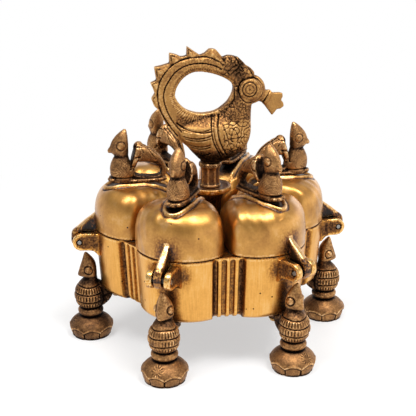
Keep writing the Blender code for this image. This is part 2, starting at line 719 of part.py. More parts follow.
def make_pins(parts, material):
    """Six steel hinge pins, riveted across the ears."""
    length = EAR_SPACE + 2 * EAR_THICK - 2 * PIN_RECESS
    r = PIN_D / 2
    profile = [
        (r - PIN_CHAMFER, -length / 2),
        (r, -length / 2 + PIN_CHAMFER),
        (r, length / 2 - PIN_CHAMFER),
        (r - PIN_CHAMFER, length / 2),
    ]
    mesh = turned("hinge_pin", profile)
    finish(mesh, material)
    for lobe in range(LOBES):
        angle = lobe * STEP
        pin = mesh_object(f"hinge_pin_{lobe + 1}", mesh, parts)
        pin.location = (HINGE_R * math.cos(angle), HINGE_R * math.sin(angle), HINGE_Z)
        pin.rotation_euler = (math.pi / 2, 0, angle)


def leg_shape(cutters):
    """One leg: foot, ring, bulb and bird's head in one skin, with a beak and a tail that reaches under
    the tray. Its origin is under the middle of the foot."""
    rings = []
    for height, back, front, side, cut in LEG_SHARES:
        ring = oval(-back * FOOT_R, front * FOOT_R, side * FOOT_R, height * LEG_TALL, LEG_STEPS, cut)
        rings.append(ring)
    (beak_u, beak_z), (tip_u, tip_z) = scaled(LEG_BEAK_SHARES, (0, 0), (FOOT_R, LEG_TALL))
    foot_u = leg_radius()
    corner_u = TIP_R - WALL_TAPER - FOOT_EDGE - foot_u
    tail_end = RIVET_R + RIVET_HEAD_D - TAIL_REACH - foot_u
    under_z = TAIL_TOP_Z - TAIL_THICK
    wall_u = TIP_R - WALL_TAPER + SEAT_GAP - foot_u
    bevel = FOOT_EDGE * (1 - math.sqrt(0.5))
    outline = [
        (tail_end, TAIL_TOP_Z - TAIL_END_THICK),
        (corner_u, under_z),
        (wall_u + FOOT_EDGE, under_z - TAIL_ROOT_DROP),
        (wall_u + FOOT_EDGE, TRAY_FOOT_Z + FOOT_EDGE),
        (wall_u, TRAY_FOOT_Z + FOOT_EDGE),
        (wall_u - bevel, TAIL_TOP_Z + bevel),
        (corner_u, TAIL_TOP_Z),
        (tail_end, TAIL_TOP_Z),
    ]
    master = mesh_object("leg", loft("leg", rings), cutters)
    tip_radius = LEG_BEAK_R * POINT_SHARE
    beak = rod("beak", LEG_BEAK_R, (beak_u, 0, beak_z), (tip_u, 0, tip_z), BEAK_STEPS, tip_radius)
    apply_booleans(master, [beak, plate("tail", [outline], TAIL_WIDE)], "UNION", cutters)
    low, high = under_z - CUT_OVERRUN, TAIL_TOP_Z + CUT_OVERRUN
    hole = upright_bore("hole", 0, RIVET_R - foot_u, RIVET_D + 2 * SEAT_GAP, low, high)
    apply_booleans(master, [hole], "DIFFERENCE", cutters)
    return settle(master)


def leg_radius():
    """How far a foot's middle is from the box's axis: the top of the bulb just clears the foot of the wall."""
    return TIP_R - WALL_TAPER + LEG_WALL_GAP + LEG_BACK_SHARE * FOOT_R


def make_legs(parts, cutters, metals):
    """Six legs, each with the rivet that holds its tail under the tray."""
    leg = leg_shape(cutters)
    finish(leg, metals["leg"])
    r, head_r, crown_r = RIVET_D / 2, RIVET_HEAD_D / 2, RIVET_CROWN_D / 2
    low, high = TAIL_TOP_Z - TAIL_THICK - SEAT_GAP, FLOOR_Z + SEAT_GAP
    profile = [
        (crown_r, low - RIVET_HEAD),
        (head_r, low),
        (r, low),
        (r, high),
        (head_r, high),
        (crown_r, high + RIVET_HEAD),
    ]
    rivet = turned("leg_rivet", profile)
    finish(rivet, metals["leg_rivet"])
    for lobe in range(LOBES):
        angle = lobe * STEP
        placed = mesh_object(f"leg_{lobe + 1}", leg, parts)
        placed.location = (leg_radius() * math.cos(angle), leg_radius() * math.sin(angle), 0)
        placed.rotation_euler.z = angle
        placed = mesh_object(f"leg_rivet_{lobe + 1}", rivet, parts)
        placed.location = (RIVET_R * math.cos(angle), RIVET_R * math.sin(angle), 0)
        placed.rotation_euler.z = angle


def make_middle(parts, cutters, metals):
    """The pieces that carry the peacock: disc on its post, octagonal stem, washer and nut."""
    spigot = SPIGOT_D / 2
    bore = spigot + SEAT_GAP
    post_low = RIM_Z + SEAT_GAP
    disc_top = DISC_Z + DISC_THICK
    profile = [
        (bore, post_low),
        (POST_R, post_low),
        (POST_R, DISC_Z),
        (DISC_R, DISC_Z),
        (DISC_R, disc_top),
        (bore, disc_top),
    ]
    disc = mesh_object("stem_disc", turned("stem_disc", profile, ROUND_STEPS, bored=True), parts)
    finish(disc.data, metals["stem_disc"])

    washer_top = TRAY_FOOT_Z - SEAT_GAP
    washer_low = washer_top - WASHER_THICK
    profile = [(bore, washer_low), (WASHER_R, washer_low), (WASHER_R, washer_top), (bore, washer_top)]
    washer = mesh_object("stem_washer", turned("stem_washer", profile, ROUND_STEPS, bored=True), parts)
    finish(washer.data, metals["stem_washer"])

    nut_top = washer_low - SEAT_GAP
    nut_low = nut_top - NUT_THICK
    nut_r = NUT_ACROSS_CORNERS / 2
    nut = mesh_object("stem_nut", rod("stem_nut", nut_r, (0, 0, nut_low), (0, 0, nut_top), NUT_SIDES), parts)
    hole = rod("thread", bore, (0, 0, nut_low - CUT_OVERRUN), (0, 0, nut_top + CUT_OVERRUN))
    apply_booleans(nut, [hole], "DIFFERENCE", cutters)
    finish(nut.data, metals["stem_nut"])

    shoulder = STEM_Z + STEM_HEIGHT
    tenon_top = PEACOCK_Z + TENON_REACH
    shaft = rod("shaft", STEM_D / 2, (0, 0, STEM_Z), (0, 0, shoulder), STEM_SIDES)
    stem = mesh_object("peacock_stem", shaft, parts)
    collar_low, collar_top = shoulder - STEM_COLLAR, shoulder + STEM_COLLAR
    added = [
        rod("spigot", spigot, (0, 0, nut_low - SPIGOT_TAIL), (0, 0, STEM_Z + CUT_OVERRUN)),
        rod("collar", STEM_COLLAR_R, (0, 0, collar_low), (0, 0, collar_top), NECK_STEPS),
        rod("tenon", TENON_D / 2, (0, 0, shoulder), (0, 0, tenon_top)),
    ]
    apply_booleans(stem, added, "UNION", cutters)
    finish(stem.data, metals["peacock_stem"])


def make_peacock(parts, cutters, material):
    """The handle: ringed tail with its saw-tooth edge, body, neck, head, eyes, beak and the leaf in it."""
    origin, sizes = (0, PEACOCK_Z), (PEACOCK_REACH, PEACOCK_TALL)

    def stacked(shares, half_width):
        rings = []
        for h, b, f, w in shares:
            height = PEACOCK_Z + h * PEACOCK_TALL
            rings.append(oval(b * PEACOCK_REACH, f * PEACOCK_REACH, w * half_width, height, NECK_STEPS))
        return rings

    ring = [scaled(PEACOCK_PLATE_SHARES, origin, sizes), scaled(PEACOCK_RING_SHARES, origin, sizes)]
    head_x, head_z = scaled([PEACOCK_HEAD_SHARES], origin, sizes)[0]
    (beak_x, beak_z), (tip_x, tip_z) = scaled(PEACOCK_BEAK_SHARES, origin, sizes)
    eye_y = HEAD_HALF + EYE_PROUD
    added = [
        plate("ring", ring, RING_THICK),
        loft("neck", stacked(PEACOCK_NECK_SHARES, NECK_HALF)),
        ball("head", (head_x, 0, head_z), (HEAD_R, HEAD_HALF, HEAD_R)),
        rod("eyes", EYE_R, (head_x, -eye_y, head_z), (head_x, eye_y, head_z)),
        rod("beak", BEAK_R, (beak_x, 0, beak_z), (tip_x, 0, tip_z), BORE_STEPS, BEAK_TIP_R),
        plate("leaf", [scaled(PEACOCK_LEAF_SHARES, origin, sizes)], LEAF_THICK),
    ]
    peacock = mesh_object("peacock", loft("peacock", stacked(PEACOCK_BODY_SHARES, BODY_HALF)), parts)
    apply_booleans(peacock, added, "UNION", cutters)
    top = PEACOCK_Z + TENON_REACH + SEAT_GAP
    socket = rod("socket", TENON_D / 2 + SEAT_GAP, (0, 0, PEACOCK_Z - CUT_OVERRUN), (0, 0, top))
    apply_booleans(peacock, [socket], "DIFFERENCE", cutters)
    finish(peacock.data, material)


def build():
    """Make every piece of the box."""
    clear_scene()
    parts = new_collection("sindoor_box")
    cutters = new_collection("cutters")
    finishes = {
        "cup_tray": BRASS_POLISHED,
        "lid": BRASS_POLISHED,
        "lid_bird": BRASS_DARK,
        "bird_screw": BRASS_SCREW,
        "hinge_pin": STEEL,
        "leg": BRASS_DARK,
        "leg_rivet": BRASS_SCREW,
        "stem_disc": BRASS_POLISHED,
        "peacock_stem": BRASS_DARK,
        "stem_washer": BRASS_SCREW,
        "stem_nut": BRASS_SCREW,
        "peacock": BRASS_DARK,
    }
    metals = {name: metal(name, finish_of) for name, finish_of in finishes.items()}
    make_tray(parts, cutters, metals["cup_tray"])
    make_lids(parts, cutters, metals)
    make_pins(parts, metals["hinge_pin"])
    make_legs(parts, cutters, metals)
    make_middle(parts, cutters, metals)
    make_peacock(parts, cutters, metals["peacock"])


build()
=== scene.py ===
"""Looks of the brass sindoor box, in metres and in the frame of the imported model.

+X is the way the peacock faces and the direction of lobe 1. Lobes 2 to 6 follow anticlockwise seen from
above. Shapes are worked out in millimetres and scaled once, where they become meshes.
"""

import math

import bmesh
import bpy
import numpy as np
from mathutils import Matrix, Vector
from mathutils.geometry import delaunay_2d_cdt


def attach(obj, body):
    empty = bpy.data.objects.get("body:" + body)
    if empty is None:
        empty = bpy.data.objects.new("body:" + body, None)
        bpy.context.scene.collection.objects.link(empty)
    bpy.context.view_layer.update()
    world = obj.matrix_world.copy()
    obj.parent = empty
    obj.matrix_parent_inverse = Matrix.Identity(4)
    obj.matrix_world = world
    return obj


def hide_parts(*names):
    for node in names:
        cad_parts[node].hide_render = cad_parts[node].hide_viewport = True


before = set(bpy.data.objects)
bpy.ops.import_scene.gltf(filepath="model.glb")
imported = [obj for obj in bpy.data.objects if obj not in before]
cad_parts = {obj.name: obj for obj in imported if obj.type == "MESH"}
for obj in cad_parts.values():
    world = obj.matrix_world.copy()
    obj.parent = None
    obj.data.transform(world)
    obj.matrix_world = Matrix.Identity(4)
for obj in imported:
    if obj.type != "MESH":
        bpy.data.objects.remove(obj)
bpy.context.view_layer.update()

# The tray is one yellow brass casting: six round lobes joined by flat strips, with a cup in each lobe.
# Its walls were filed upright and buffed after casting. The grooves and the roots of the hinge ears
# couldn't be reached, so they keep the dark casting skin.

MM = 0.001
MERGE_GAP = 0.002
LOBES = 6
STEP = 2 * math.pi / LOBES

FOOT_Z = 21.1
RIM_Z = 47.25
LOBE_CENTRE = 28.0
LOBE_RADIUS = 19.7
TIP_R = LOBE_CENTRE + LOBE_RADIUS
WALL = 1.8
TAPER = 1.6
FOOT_ROUND = 3.0
RIM_ROUND = 0.35

ARC_COLUMNS = 56
STRIP_COLUMNS = 120
STRIP_HALF = 7.0
STRIP_CREST_R = 40.85
STRIP_BLEND = 1.9
GROOVE_CENTRES = (-5.2, -1.65, 1.65, 5.2)
GROOVE_HALVES = (1.35, 1.15, 1.15, 1.35)
GROOVE_DEPTH = 1.15
GROOVE_EDGE = 0.55
GROOVE_TOP = 0.7
GROOVE_FINE = 3.0

CUP_FLOOR_Z = 23.1
CUP_EDGE = 1.8
CUP_COLUMNS = 96
PARTITION_HALF = 1.5
HUB_R = 11.0
CORNER_POWER = 14.0

HINGE_R = 54.5
HINGE_Z = 42.8
EAR_SIDE = 3.65
EAR_HALF_THICK = 1.3
EAR_HALF_HEIGHT = 3.6
EAR_END = 2.7
EAR_CENTRE_R = HINGE_R + EAR_END - EAR_HALF_HEIGHT
EAR_ROOT_R = 46.2
PIN_HOLE_R = 1.3
LUG_LIP = 0.15
LUG_ROUND_SHARE = 0.45
LUG_EVEN_SHARE = 0.3
EAR_FLARE = 1.5
EAR_ROOT_SHARE = 0.55


def on_lobe(points, angle):
    """Points turned about the box's upright axis by an angle, as a rotation matrix does."""
    c, s = math.cos(angle), math.sin(angle)
    x, y = points[..., 0], points[..., 1]
    return np.stack([x * c - y * s, x * s + y * c, points[..., 2]], -1)


def smooth_step(value, start, end):
    """0 on the far side of start, 1 on the far side of end, and 3t^2 - 2t^3 between them. With start above
    end it falls as the value grows."""
    t = np.clip((value - start) / (end - start), 0.0, 1.0)
    return t * t * (3 - 2 * t)


def bell(value, centre, width, power=2):
    """1 at the centre, falling alike on both sides: e to the power of -(distance / width)^2."""
    return np.exp(-((abs(value - centre) / width) ** power))


def around(columns):
    """Angles of a full turn, evenly spaced."""
    return np.linspace(0, 2 * math.pi, columns, endpoint=False)


def ring_points(x, y, z):
    """Rings of points from their coordinates, each an array of rows, of columns or of both."""
    return np.stack(np.broadcast_arrays(x, y, z), -1)


def grid_faces(rows, columns, close_rows=False):
    """Quads between neighbouring points of a stack of rings. Closed rows join the last ring to the first."""
    r = np.arange(rows if close_rows else rows - 1)[:, None]
    c = np.arange(columns)[None, :]
    r_next, c_next = (r + 1) % rows, (c + 1) % columns
    corners = [r * columns + c, r * columns + c_next, r_next * columns + c_next, r_next * columns + c]
    return np.stack(corners, -1).reshape(-1, 4)


def tube(points, low_pole=True, high_pole=True):
    """A shell from rings of points: quads along it, and a fan to the middle of a ring that has a pole."""
    rows, columns = points.shape[:2]
    flat = points.reshape(-1, 3)
    faces = [grid_faces(rows, columns)]
    first = np.arange(columns)
    for wanted, start in ((low_pole, 0), (high_pole, (rows - 1) * columns)):
        if wanted:
            middle = flat[start:start + columns].mean(0)
            pole = np.full(columns, len(flat))
            faces.append(np.stack([start + first, start + (first + 1) % columns, pole], -1))
            flat = np.vstack([flat, middle])
    return flat, faces


def flat_cut(outlines):
    """Triangles over the region inside the first outline and outside the others, all (n, 2) points."""
    loops, start = [], 0
    for outline in outlines:
        loops.append(list(range(start, start + len(outline))))
        start += len(outline)
    cut = delaunay_2d_cdt([Vector(p) for p in np.vstack(outlines)], [], loops, 2, 1e-5)
    return np.array([tuple(p) for p in cut[0]]), np.array([tuple(f) for f in cut[2]])


def mesh_of(name, shells):
    """One mesh from shells given as (points, list of face arrays) in millimetres. Points that meet are
    merged, and every shell's faces are turned outwards."""
    points, faces, start = [], [], 0
    for shell_points, shell_faces in shells:
        points.append(shell_points)
        faces += [row for block in shell_faces for row in (block + start).tolist()]
        start += len(shell_points)
    mesh = bpy.data.meshes.new(name)
    mesh.from_pydata((np.vstack(points) * MM).tolist(), [], faces)
    bm = bmesh.new()
    bm.from_mesh(mesh)
    bmesh.ops.remove_doubles(bm, verts=bm.verts, dist=MERGE_GAP * MM)
    bmesh.ops.dissolve_degenerate(bm, dist=MERGE_GAP * MM / 4, edges=bm.edges)
    bmesh.ops.recalc_face_normals(bm, faces=bm.faces)
    bm.to_mesh(mesh)
    bm.free()
    mesh.shade_smooth()
    return mesh


def points_of(mesh):
    """The mesh's vertices in millimetres."""
    flat = np.empty(len(mesh.vertices) * 3, np.float32)
    mesh.vertices.foreach_get("co", flat)
    return flat.reshape(-1, 3).astype(float) / MM


def normals_of(mesh):
    """The mesh's vertex normals."""
    flat = np.empty(len(mesh.vertices) * 3, np.float32)
    mesh.vertex_normals.foreach_get("vector", flat)
    return flat.reshape(-1, 3).astype(float)


def paint(mesh, **layers):
    """Write arrays of one number per vertex as the mesh's attributes, kept between 0 and 1."""
    for key, values in layers.items():
        layer = mesh.attributes.new(key, "FLOAT", "POINT")
        layer.data.foreach_set("value", np.clip(values, 0.0, 1.0).astype(np.float32))


def petal(radius, side_gap, inner_r, columns):
    """A cup's plan: a circle about the lobe's centre, cut by the two sector lines and a line across the
    inner end. The power mean of the three distances rounds the corners."""
    angle = around(columns)
    turn = np.minimum(angle, 2 * math.pi - angle)
    to_side = LOBE_CENTRE * math.sin(STEP / 2) - side_gap
    past_side = radius * np.sin(np.maximum(turn - STEP / 2, 1e-3)) / to_side
    past_end = radius * np.maximum(-np.cos(turn), 1e-3) / (LOBE_CENTRE - inner_r)
    reach = radius * (1 + past_side**CORNER_POWER + past_end**CORNER_POWER) ** (-1 / CORNER_POWER)
    return np.stack([LOBE_CENTRE + reach * np.cos(angle), reach * np.sin(angle)], -1)


def lug(outline, centre, hole_r, half_thick, side, columns=96):
    """A flat lug across the XZ plane with a round hole: a closed ring of sections. Each runs out from the
    hole, over the edge with a small round, back to the hole on the other face, and through it."""
    ends = np.vstack([outline, outline[:1]])
    length = np.concatenate([[0], np.cumsum(np.linalg.norm(np.diff(ends, axis=0), axis=1))])
    along = np.linspace(0, length[-1], columns, endpoint=False)
    rim = np.stack([np.interp(along, length, ends[:, k]) for k in (0, 1)], -1)
    reach = np.linalg.norm(rim - centre, axis=1, keepdims=True)
    aim = np.unwrap(np.arctan2(rim[:, 1] - centre[1], rim[:, 0] - centre[0]))
    even = aim[0] + np.sign(aim[-1] - aim[0]) * 2 * math.pi * np.arange(columns) / columns
    edge = half_thick * LUG_ROUND_SHARE
    turn = np.linspace(0, math.pi / 2, 6)
    rows = [(hole_r, 0.0, half_thick - LUG_LIP), (hole_r + LUG_LIP, 0.0, half_thick)]
    rows += [(hole_r * (1 - share), share, half_thick) for share in (0.35, 0.7)]
    rows += [(-edge * (1 - math.sin(a)), 1.0, half_thick - edge * (1 - math.cos(a))) for a in turn]
    rows += [(fixed, share, -height) for fixed, share, height in rows[::-1]]
    section = []
    for fixed, share, height in rows:
        way = aim + LUG_EVEN_SHARE * (1 - share) * (even - aim)
        out = np.stack([np.cos(way), np.sin(way)], -1)
        plan = centre + out * (fixed + share * (reach - (edge if 0 < share < 1 else 0.0)))
        section.append(np.stack([plan[:, 0], np.full(columns, side + height), plan[:, 1]], -1))
    points = np.stack(section)
    return points.reshape(-1, 3), [grid_faces(len(rows), columns, close_rows=True)]


def strip_crest(v):
    """How far out the strip's surface stands before its grooves are cut, at the distance v from its
    middle: level in the middle, and rising smoothly to meet the round lobes."""
    meet = LOBE_CENTRE * math.cos(STEP / 2) + math.sqrt(
        LOBE_RADIUS**2 - (LOBE_CENTRE * math.sin(STEP / 2) - STRIP_HALF) ** 2
    )
    rise = smooth_step(abs(v), STRIP_HALF - STRIP_BLEND, STRIP_HALF)
    return STRIP_CREST_R + (meet - STRIP_CREST_R) * rise


def groove_cut(v, z):
    """Depth of the four upright grooves, from 0 on a ridge to 1 on a groove's floor. Each is a slot with
    a round top, and its depth follows the distance inside the slot's outline."""
    depth = 0.0
    for centre, half in zip(GROOVE_CENTRES, GROOVE_HALVES):
        top = RIM_Z - GROOVE_TOP - half
        inside = half - np.hypot(v - centre, np.maximum(z - top, 0.0))
        depth = np.maximum(depth, smooth_step(inside, 0.0, GROOVE_EDGE))
    return depth


def tray_plan():
    """The outline before its grooves are cut: for each lobe an arc, then a strip. It also gives the
    strip's own sideways distance and outward direction, which are zero on the arcs."""
    arc_half = STEP / 2 + math.asin((LOBE_CENTRE * math.sin(STEP / 2) - STRIP_HALF) / LOBE_RADIUS)
    turn = np.linspace(-arc_half, arc_half, ARC_COLUMNS)
    arc = np.stack([LOBE_CENTRE + LOBE_RADIUS * np.cos(turn), LOBE_RADIUS * np.sin(turn)], -1)
    v = np.linspace(-STRIP_HALF, STRIP_HALF, STRIP_COLUMNS + 2)[1:-1]
    strip = np.stack([strip_crest(v), v], -1)
    sideways = np.concatenate([np.full(ARC_COLUMNS, np.nan), v])
    plan, outward = [], []
    for lobe in range(LOBES):
        for block, angle in ((arc, lobe * STEP), (strip, (lobe + 0.5) * STEP)):
            flat = np.hstack([block, np.zeros((len(block), 1))])
            plan.append(on_lobe(flat, angle)[:, :2])
            way = (math.cos(angle), math.sin(angle)) if block is strip else (0.0, 0.0)
            outward.append(np.tile(way, (len(block), 1)))
    return np.vstack(plan), np.vstack(outward), np.tile(sideways, LOBES)


def tray_shell():
    """The tray's one closed surface. Underside and walls are the plan shrunk towards the axis by the
    wall's lean, each cup is a stack of petals, and the flat rim between them is cut from its outlines."""
    plan, outward, sideways = tray_plan()
    levels = []
    for a in np.linspace(0, math.pi / 2, 9):
        levels.append((FOOT_Z + FOOT_ROUND * (1 - math.cos(a)), TAPER + FOOT_ROUND * (1 - math.sin(a))))
    fine_z = RIM_Z - GROOVE_FINE
    wall_z = np.concatenate([np.linspace(FOOT_Z + FOOT_ROUND, fine_z, 22)[1:],
                             np.linspace(fine_z, RIM_Z - RIM_ROUND, 16)[1:]])
    wall_in = TAPER * (RIM_Z - wall_z) / (RIM_Z - FOOT_Z - FOOT_ROUND)
    levels += list(zip(wall_z, wall_in))
    for a in np.linspace(0, math.pi / 2, 5)[1:]:
        levels.append((RIM_Z - RIM_ROUND * (1 - math.sin(a)), RIM_ROUND * (1 - math.cos(a))))
    rows = []
    for z, inset in levels:
        size = (TIP_R - inset) / TIP_R
        cut = np.where(np.isnan(sideways), 0.0, groove_cut(np.nan_to_num(sideways), z))
        flat = plan * size - outward * (cut * GROOVE_DEPTH)[:, None]
        rows.append(np.hstack([flat, np.full((len(plan), 1), z)]))
    under = [np.hstack([rows[0][:, :2] * share, rows[0][:, 2:]]) for share in (0.12, 0.35, 0.6, 0.82, 0.93)]
    wall = np.stack(under + rows)
    shells = [tube(wall, high_pole=False)]
    loops = [rows[-1][:, :2]]
    steps = []
    for a in np.linspace(math.pi / 2, 0, 5):
        edge = -RIM_ROUND * math.sin(a)
        steps.append((edge, edge, RIM_Z - RIM_ROUND * (1 - math.sin(a))))
    for share in np.linspace(0, 1, 12)[1:]:
        z = (RIM_Z - RIM_ROUND) * (1 - share) + (CUP_FLOOR_Z + CUP_EDGE) * share
        steps.append((TAPER * share, 0.0, z))
    for a in np.linspace(0, math.pi / 2, 6)[1:]:
        edge = CUP_EDGE * (1 - math.cos(a))
        steps.append((TAPER + edge, edge, CUP_FLOOR_Z + CUP_EDGE * (1 - math.sin(a))))
    rings = []
    for inset, edge, z in steps:
        outline = petal(LOBE_RADIUS - WALL - inset, PARTITION_HALF + edge, HUB_R + edge, CUP_COLUMNS)
        rings.append(np.hstack([outline, np.full((CUP_COLUMNS, 1), z)]))
    middle = rings[-1].mean(0)
    cup = np.stack(rings + [middle + (rings[-1] - middle) * share for share in (0.66, 0.33)])
    for lobe in range(LOBES):
        turned_cup = on_lobe(cup, lobe * STEP)
        shells.append(tube(turned_cup, low_pole=False))
        loops.append(turned_cup[0][:, :2])
    flat, triangles = flat_cut(loops)
    shells.append((np.hstack([flat, np.full((len(flat), 1), RIM_Z)]), [triangles]))
    return shells


def ear_outline():
    """An ear from the side: a round end about the pin, and a root that flares where it meets the wall."""
    turn = np.linspace(-math.pi / 2, math.pi / 2, 25)
    end = EAR_HALF_HEIGHT * np.stack([np.cos(turn), np.sin(turn)], -1) + (EAR_CENTRE_R, HINGE_Z)
    out = np.linspace(EAR_CENTRE_R, EAR_ROOT_R, 14)[1:]
    flare = EAR_FLARE * np.exp(-(out - TIP_R + 0.4) / 1.3)
    top = np.stack([out, np.full(len(out), HINGE_Z + EAR_HALF_HEIGHT)], -1)
    low = np.stack([out, HINGE_Z - EAR_HALF_HEIGHT - np.minimum(flare, 2.4)], -1)[::-1]
    return np.vstack([end, top, low])


shells = tray_shell()
for lobe in range(LOBES):
    for side in (-EAR_SIDE, EAR_SIDE):
        points, faces = lug(ear_outline(), (HINGE_R, HINGE_Z), PIN_HOLE_R, EAR_HALF_THICK, side)
        root = np.exp(-np.maximum(points[:, 0] - TIP_R + 0.6, 0) / 1.2)
        points[:, 1] = side + (points[:, 1] - side) * (1 + EAR_ROOT_SHARE * root)
        shells.append((on_lobe(points, lobe * STEP), faces))


GRIT_SIZE = 0.8
PIT_CELL = 2.4


def linear(code):
    """A linear colour from an sRGB hex code: a straight line at the low end and a power of 2.4 above."""
    share = np.array([int(code[i:i + 2], 16) for i in (1, 3, 5)]) / 255
    colour = np.where(share <= 0.04045, share / 12.92, ((share + 0.055) / 1.055) ** 2.4)
    return (*colour.tolist(), 1.0)


def add_node(tree, kind, inputs=None, **settings):
    """Add a node with its settings. Each input gets a plain value, or a link if an output is given."""
    node = tree.nodes.new(kind)
    for key, value in settings.items():
        setattr(node, key, value)
    for key, value in (inputs or {}).items():
        if isinstance(value, bpy.types.NodeSocket):
            tree.links.new(value, node.inputs[key])
        else:
            node.inputs[key].default_value = value
    return node


def worked(tree, operation, *inputs):
    """The output of a math node."""
    return add_node(tree, "ShaderNodeMath", dict(enumerate(inputs)), operation=operation).outputs[0]


def mapped(tree, value, low, high, first, last, **settings):
    """The output of a node that turns low to high into first to last."""
    inputs = {0: value, 1: low, 2: high, 3: first, 4: last}
    return add_node(tree, "ShaderNodeMapRange", inputs, **settings).outputs[0]


def noise(tree, vector, size, detail):
    """The value of a noise whose features are about size mm across."""
    inputs = {"Vector": vector, "Scale": 1 / (size * MM), "Detail": detail}
    return add_node(tree, "ShaderNodeTexNoise", inputs).outputs[0]


def aged_metal(name, tones, level, blotch, grain, streak, gloss, relief, pits=0.0, shade_at_minus_x=0.0):
    """A metal whose colour runs through tones, from rubbed bright to dark skin, as its age rises. Age is a
    level, plus blotches, grain and upright streaks given as (size in mm, strength), plus the grime and
    painted shade that the mesh carries and less its wear. Fine grit breaks up whatever is half grimy or
    half worn. Gloss is the roughness at both ends, and relief the bump in mm. Pits are rare dark casting
    pits, as a share of the cells that may hold one. The last argument is painted shade: how much darker
    the metal is made at the -X end of the box."""
    material = bpy.data.materials.new(name)
    material.use_nodes = True
    tree = material.node_tree
    shader = tree.nodes["Principled BSDF"]
    place = add_node(tree, "ShaderNodeTexCoord").outputs["Object"]
    upright = add_node(tree, "ShaderNodeMapping", {"Vector": place, "Scale": (1.0, 1.0, 0.05)}).outputs[0]
    age_and_shade = level - (blotch[1] + grain[1] + streak[1]) / 2
    waves = []
    for (size, strength), vector in ((blotch, place), (grain, place), (streak, upright)):
        waves.append(noise(tree, vector, size, 3.0))
        age_and_shade = worked(tree, "MULTIPLY_ADD", waves[-1], strength, age_and_shade)
    grit = mapped(tree, noise(tree, place, GRIT_SIZE, 2.0), 0.36, 0.64, -0.55, 0.55)
    # The grime layer holds dark skin and also painted shade.
    for key, weight in (("grime", 1.0), ("wear", -0.55)):
        layer = add_node(tree, "ShaderNodeAttribute", attribute_name=key).outputs["Fac"]
        age_and_shade = worked(tree, "MULTIPLY_ADD", layer, weight, age_and_shade)
        half_way = worked(tree, "MULTIPLY", layer, worked(tree, "SUBTRACT", 1.0, layer))
        age_and_shade = worked(tree, "MULTIPLY_ADD", half_way, grit, age_and_shade)
    height = worked(tree, "MULTIPLY_ADD", waves[1], 0.6, waves[0])
    # Painted shade: the metal is made darker towards the -X end of the box.
    if shade_at_minus_x:
        away = add_node(tree, "ShaderNodeSeparateXYZ", {0: place}).outputs["X"]
        age_and_shade = worked(tree, "ADD", age_and_shade, mapped(tree, away, -0.03, -0.055, 0.0, shade_at_minus_x))
    if pits:
        spread = {"Vector": place, "Scale": 1 / (PIT_CELL * MM)}
        cells = add_node(tree, "ShaderNodeTexVoronoi", spread).outputs
        chance = add_node(tree, "ShaderNodeSeparateColor", {0: cells["Color"]}).outputs[0]
        rare = worked(tree, "GREATER_THAN", chance, 1 - pits)
        pit = worked(tree, "MULTIPLY", mapped(tree, cells["Distance"], 0.08, 0.16, 1.0, 0.0), rare)
        age_and_shade = worked(tree, "MULTIPLY_ADD", pit, 0.8, age_and_shade)
        height = worked(tree, "MULTIPLY_ADD", pit, -1.0, height)
    ramp = add_node(tree, "ShaderNodeValToRGB", {0: age_and_shade})
    stops = ramp.color_ramp.elements
    while len(stops) < len(tones):
        stops.new(1.0)
    for i, tone in enumerate(tones):
        stops[i].position = i / (len(tones) - 1)
        stops[i].color = linear(tone)
    tree.links.new(ramp.outputs[0], shader.inputs["Base Color"])
    tree.links.new(mapped(tree, age_and_shade, 0.0, 1.0, *gloss), shader.inputs["Roughness"])
    bump = add_node(tree, "ShaderNodeBump", {"Height": height, "Distance": relief * MM, "Strength": 1.0})
    tree.links.new(bump.outputs[0], shader.inputs["Normal"])
    shader.inputs["Metallic"].default_value = 1.0
    return material


def add_object(name, data):
    """A new object in the scene."""
    made = bpy.data.objects.new(name, data)
    bpy.context.scene.collection.objects.link(made)
    return made


def place_piece(name, mesh, material, body, node):
    """Link a finished mesh as a piece that rides on a body and stands for a CAD node."""
    mesh.name = name
    mesh.materials.clear()
    mesh.materials.append(material)
    piece = add_object(name, mesh)
    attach(piece, body)
    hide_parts(node)


def place_round(name, mesh, material, body, node):
    """Place a copy of the mesh at every lobe. In the names, {} stands for the lobe's number."""
    for lobe in range(LOBES):
        copy = mesh.copy()
        copy.transform(Matrix.Rotation(lobe * STEP, 4, "Z"))
        number = lobe + 1
        place_piece(name.format(number), copy, material, body.format(number), node.format(number))


# Brass that was cast, filed upright and buffed, and has since dulled in the hand. It shows soft gold with
# fine upright streaks, a few casting pits, and near-black skin wherever a buff can't reach.
BUFFED_TONES = ("#F3CC8C", "#E2A756", "#AE7638", "#754F30", "#40291C", "#1D120A")
buffed_wall = aged_metal(
    "buffed_cast_brass", BUFFED_TONES, 0.20, blotch=(9.0, 0.22), grain=(0.7, 0.10), streak=(0.55, 0.20),
    gloss=(0.24, 0.58), relief=0.05, pits=0.11,
)

tray_mesh = mesh_of("tray", shells)
tray_mesh.set_sharp_from_angle(angle=math.radians(50))
x, y, z = points_of(tray_mesh).T
leaning = (TIP_R - TAPER * np.clip((RIM_Z - z) / (RIM_Z - FOOT_Z - FOOT_ROUND), 0, 1)) / TIP_R
turn, reach = np.arctan2(y, x), np.hypot(x, y) / leaning
to_strip = turn - (np.round(turn / STEP - 0.5) + 0.5) * STEP
to_lobe = turn - np.round(turn / STEP) * STEP
strip_u, strip_v = reach * np.cos(to_strip), reach * np.sin(to_strip)
lobe_u, lobe_v = reach * np.cos(to_lobe), abs(reach * np.sin(to_lobe))
from_lobe = np.hypot(lobe_u - LOBE_CENTRE, lobe_v)
on_wall = from_lobe > LOBE_RADIUS - 0.6
top = (z > RIM_Z - 0.02) & (reach < 36)
in_cup = (from_lobe < LOBE_RADIUS - WALL + 0.1) & (z < RIM_Z - 0.5) & ~top
# Skin in the grooves and on their shoulders, which a buff passes over.
in_strip = (abs(strip_v) < STRIP_HALF) & (strip_u > STRIP_CREST_R - GROOVE_DEPTH - 0.6)
groove = in_strip * groove_cut(strip_v, z)
shoulder = smooth_step(abs(strip_v), 4.0, 5.4) * smooth_step(abs(strip_v), 7.0, 5.8)
grime = 0.29 * groove + in_strip * (0.04 + 0.10 * shoulder)
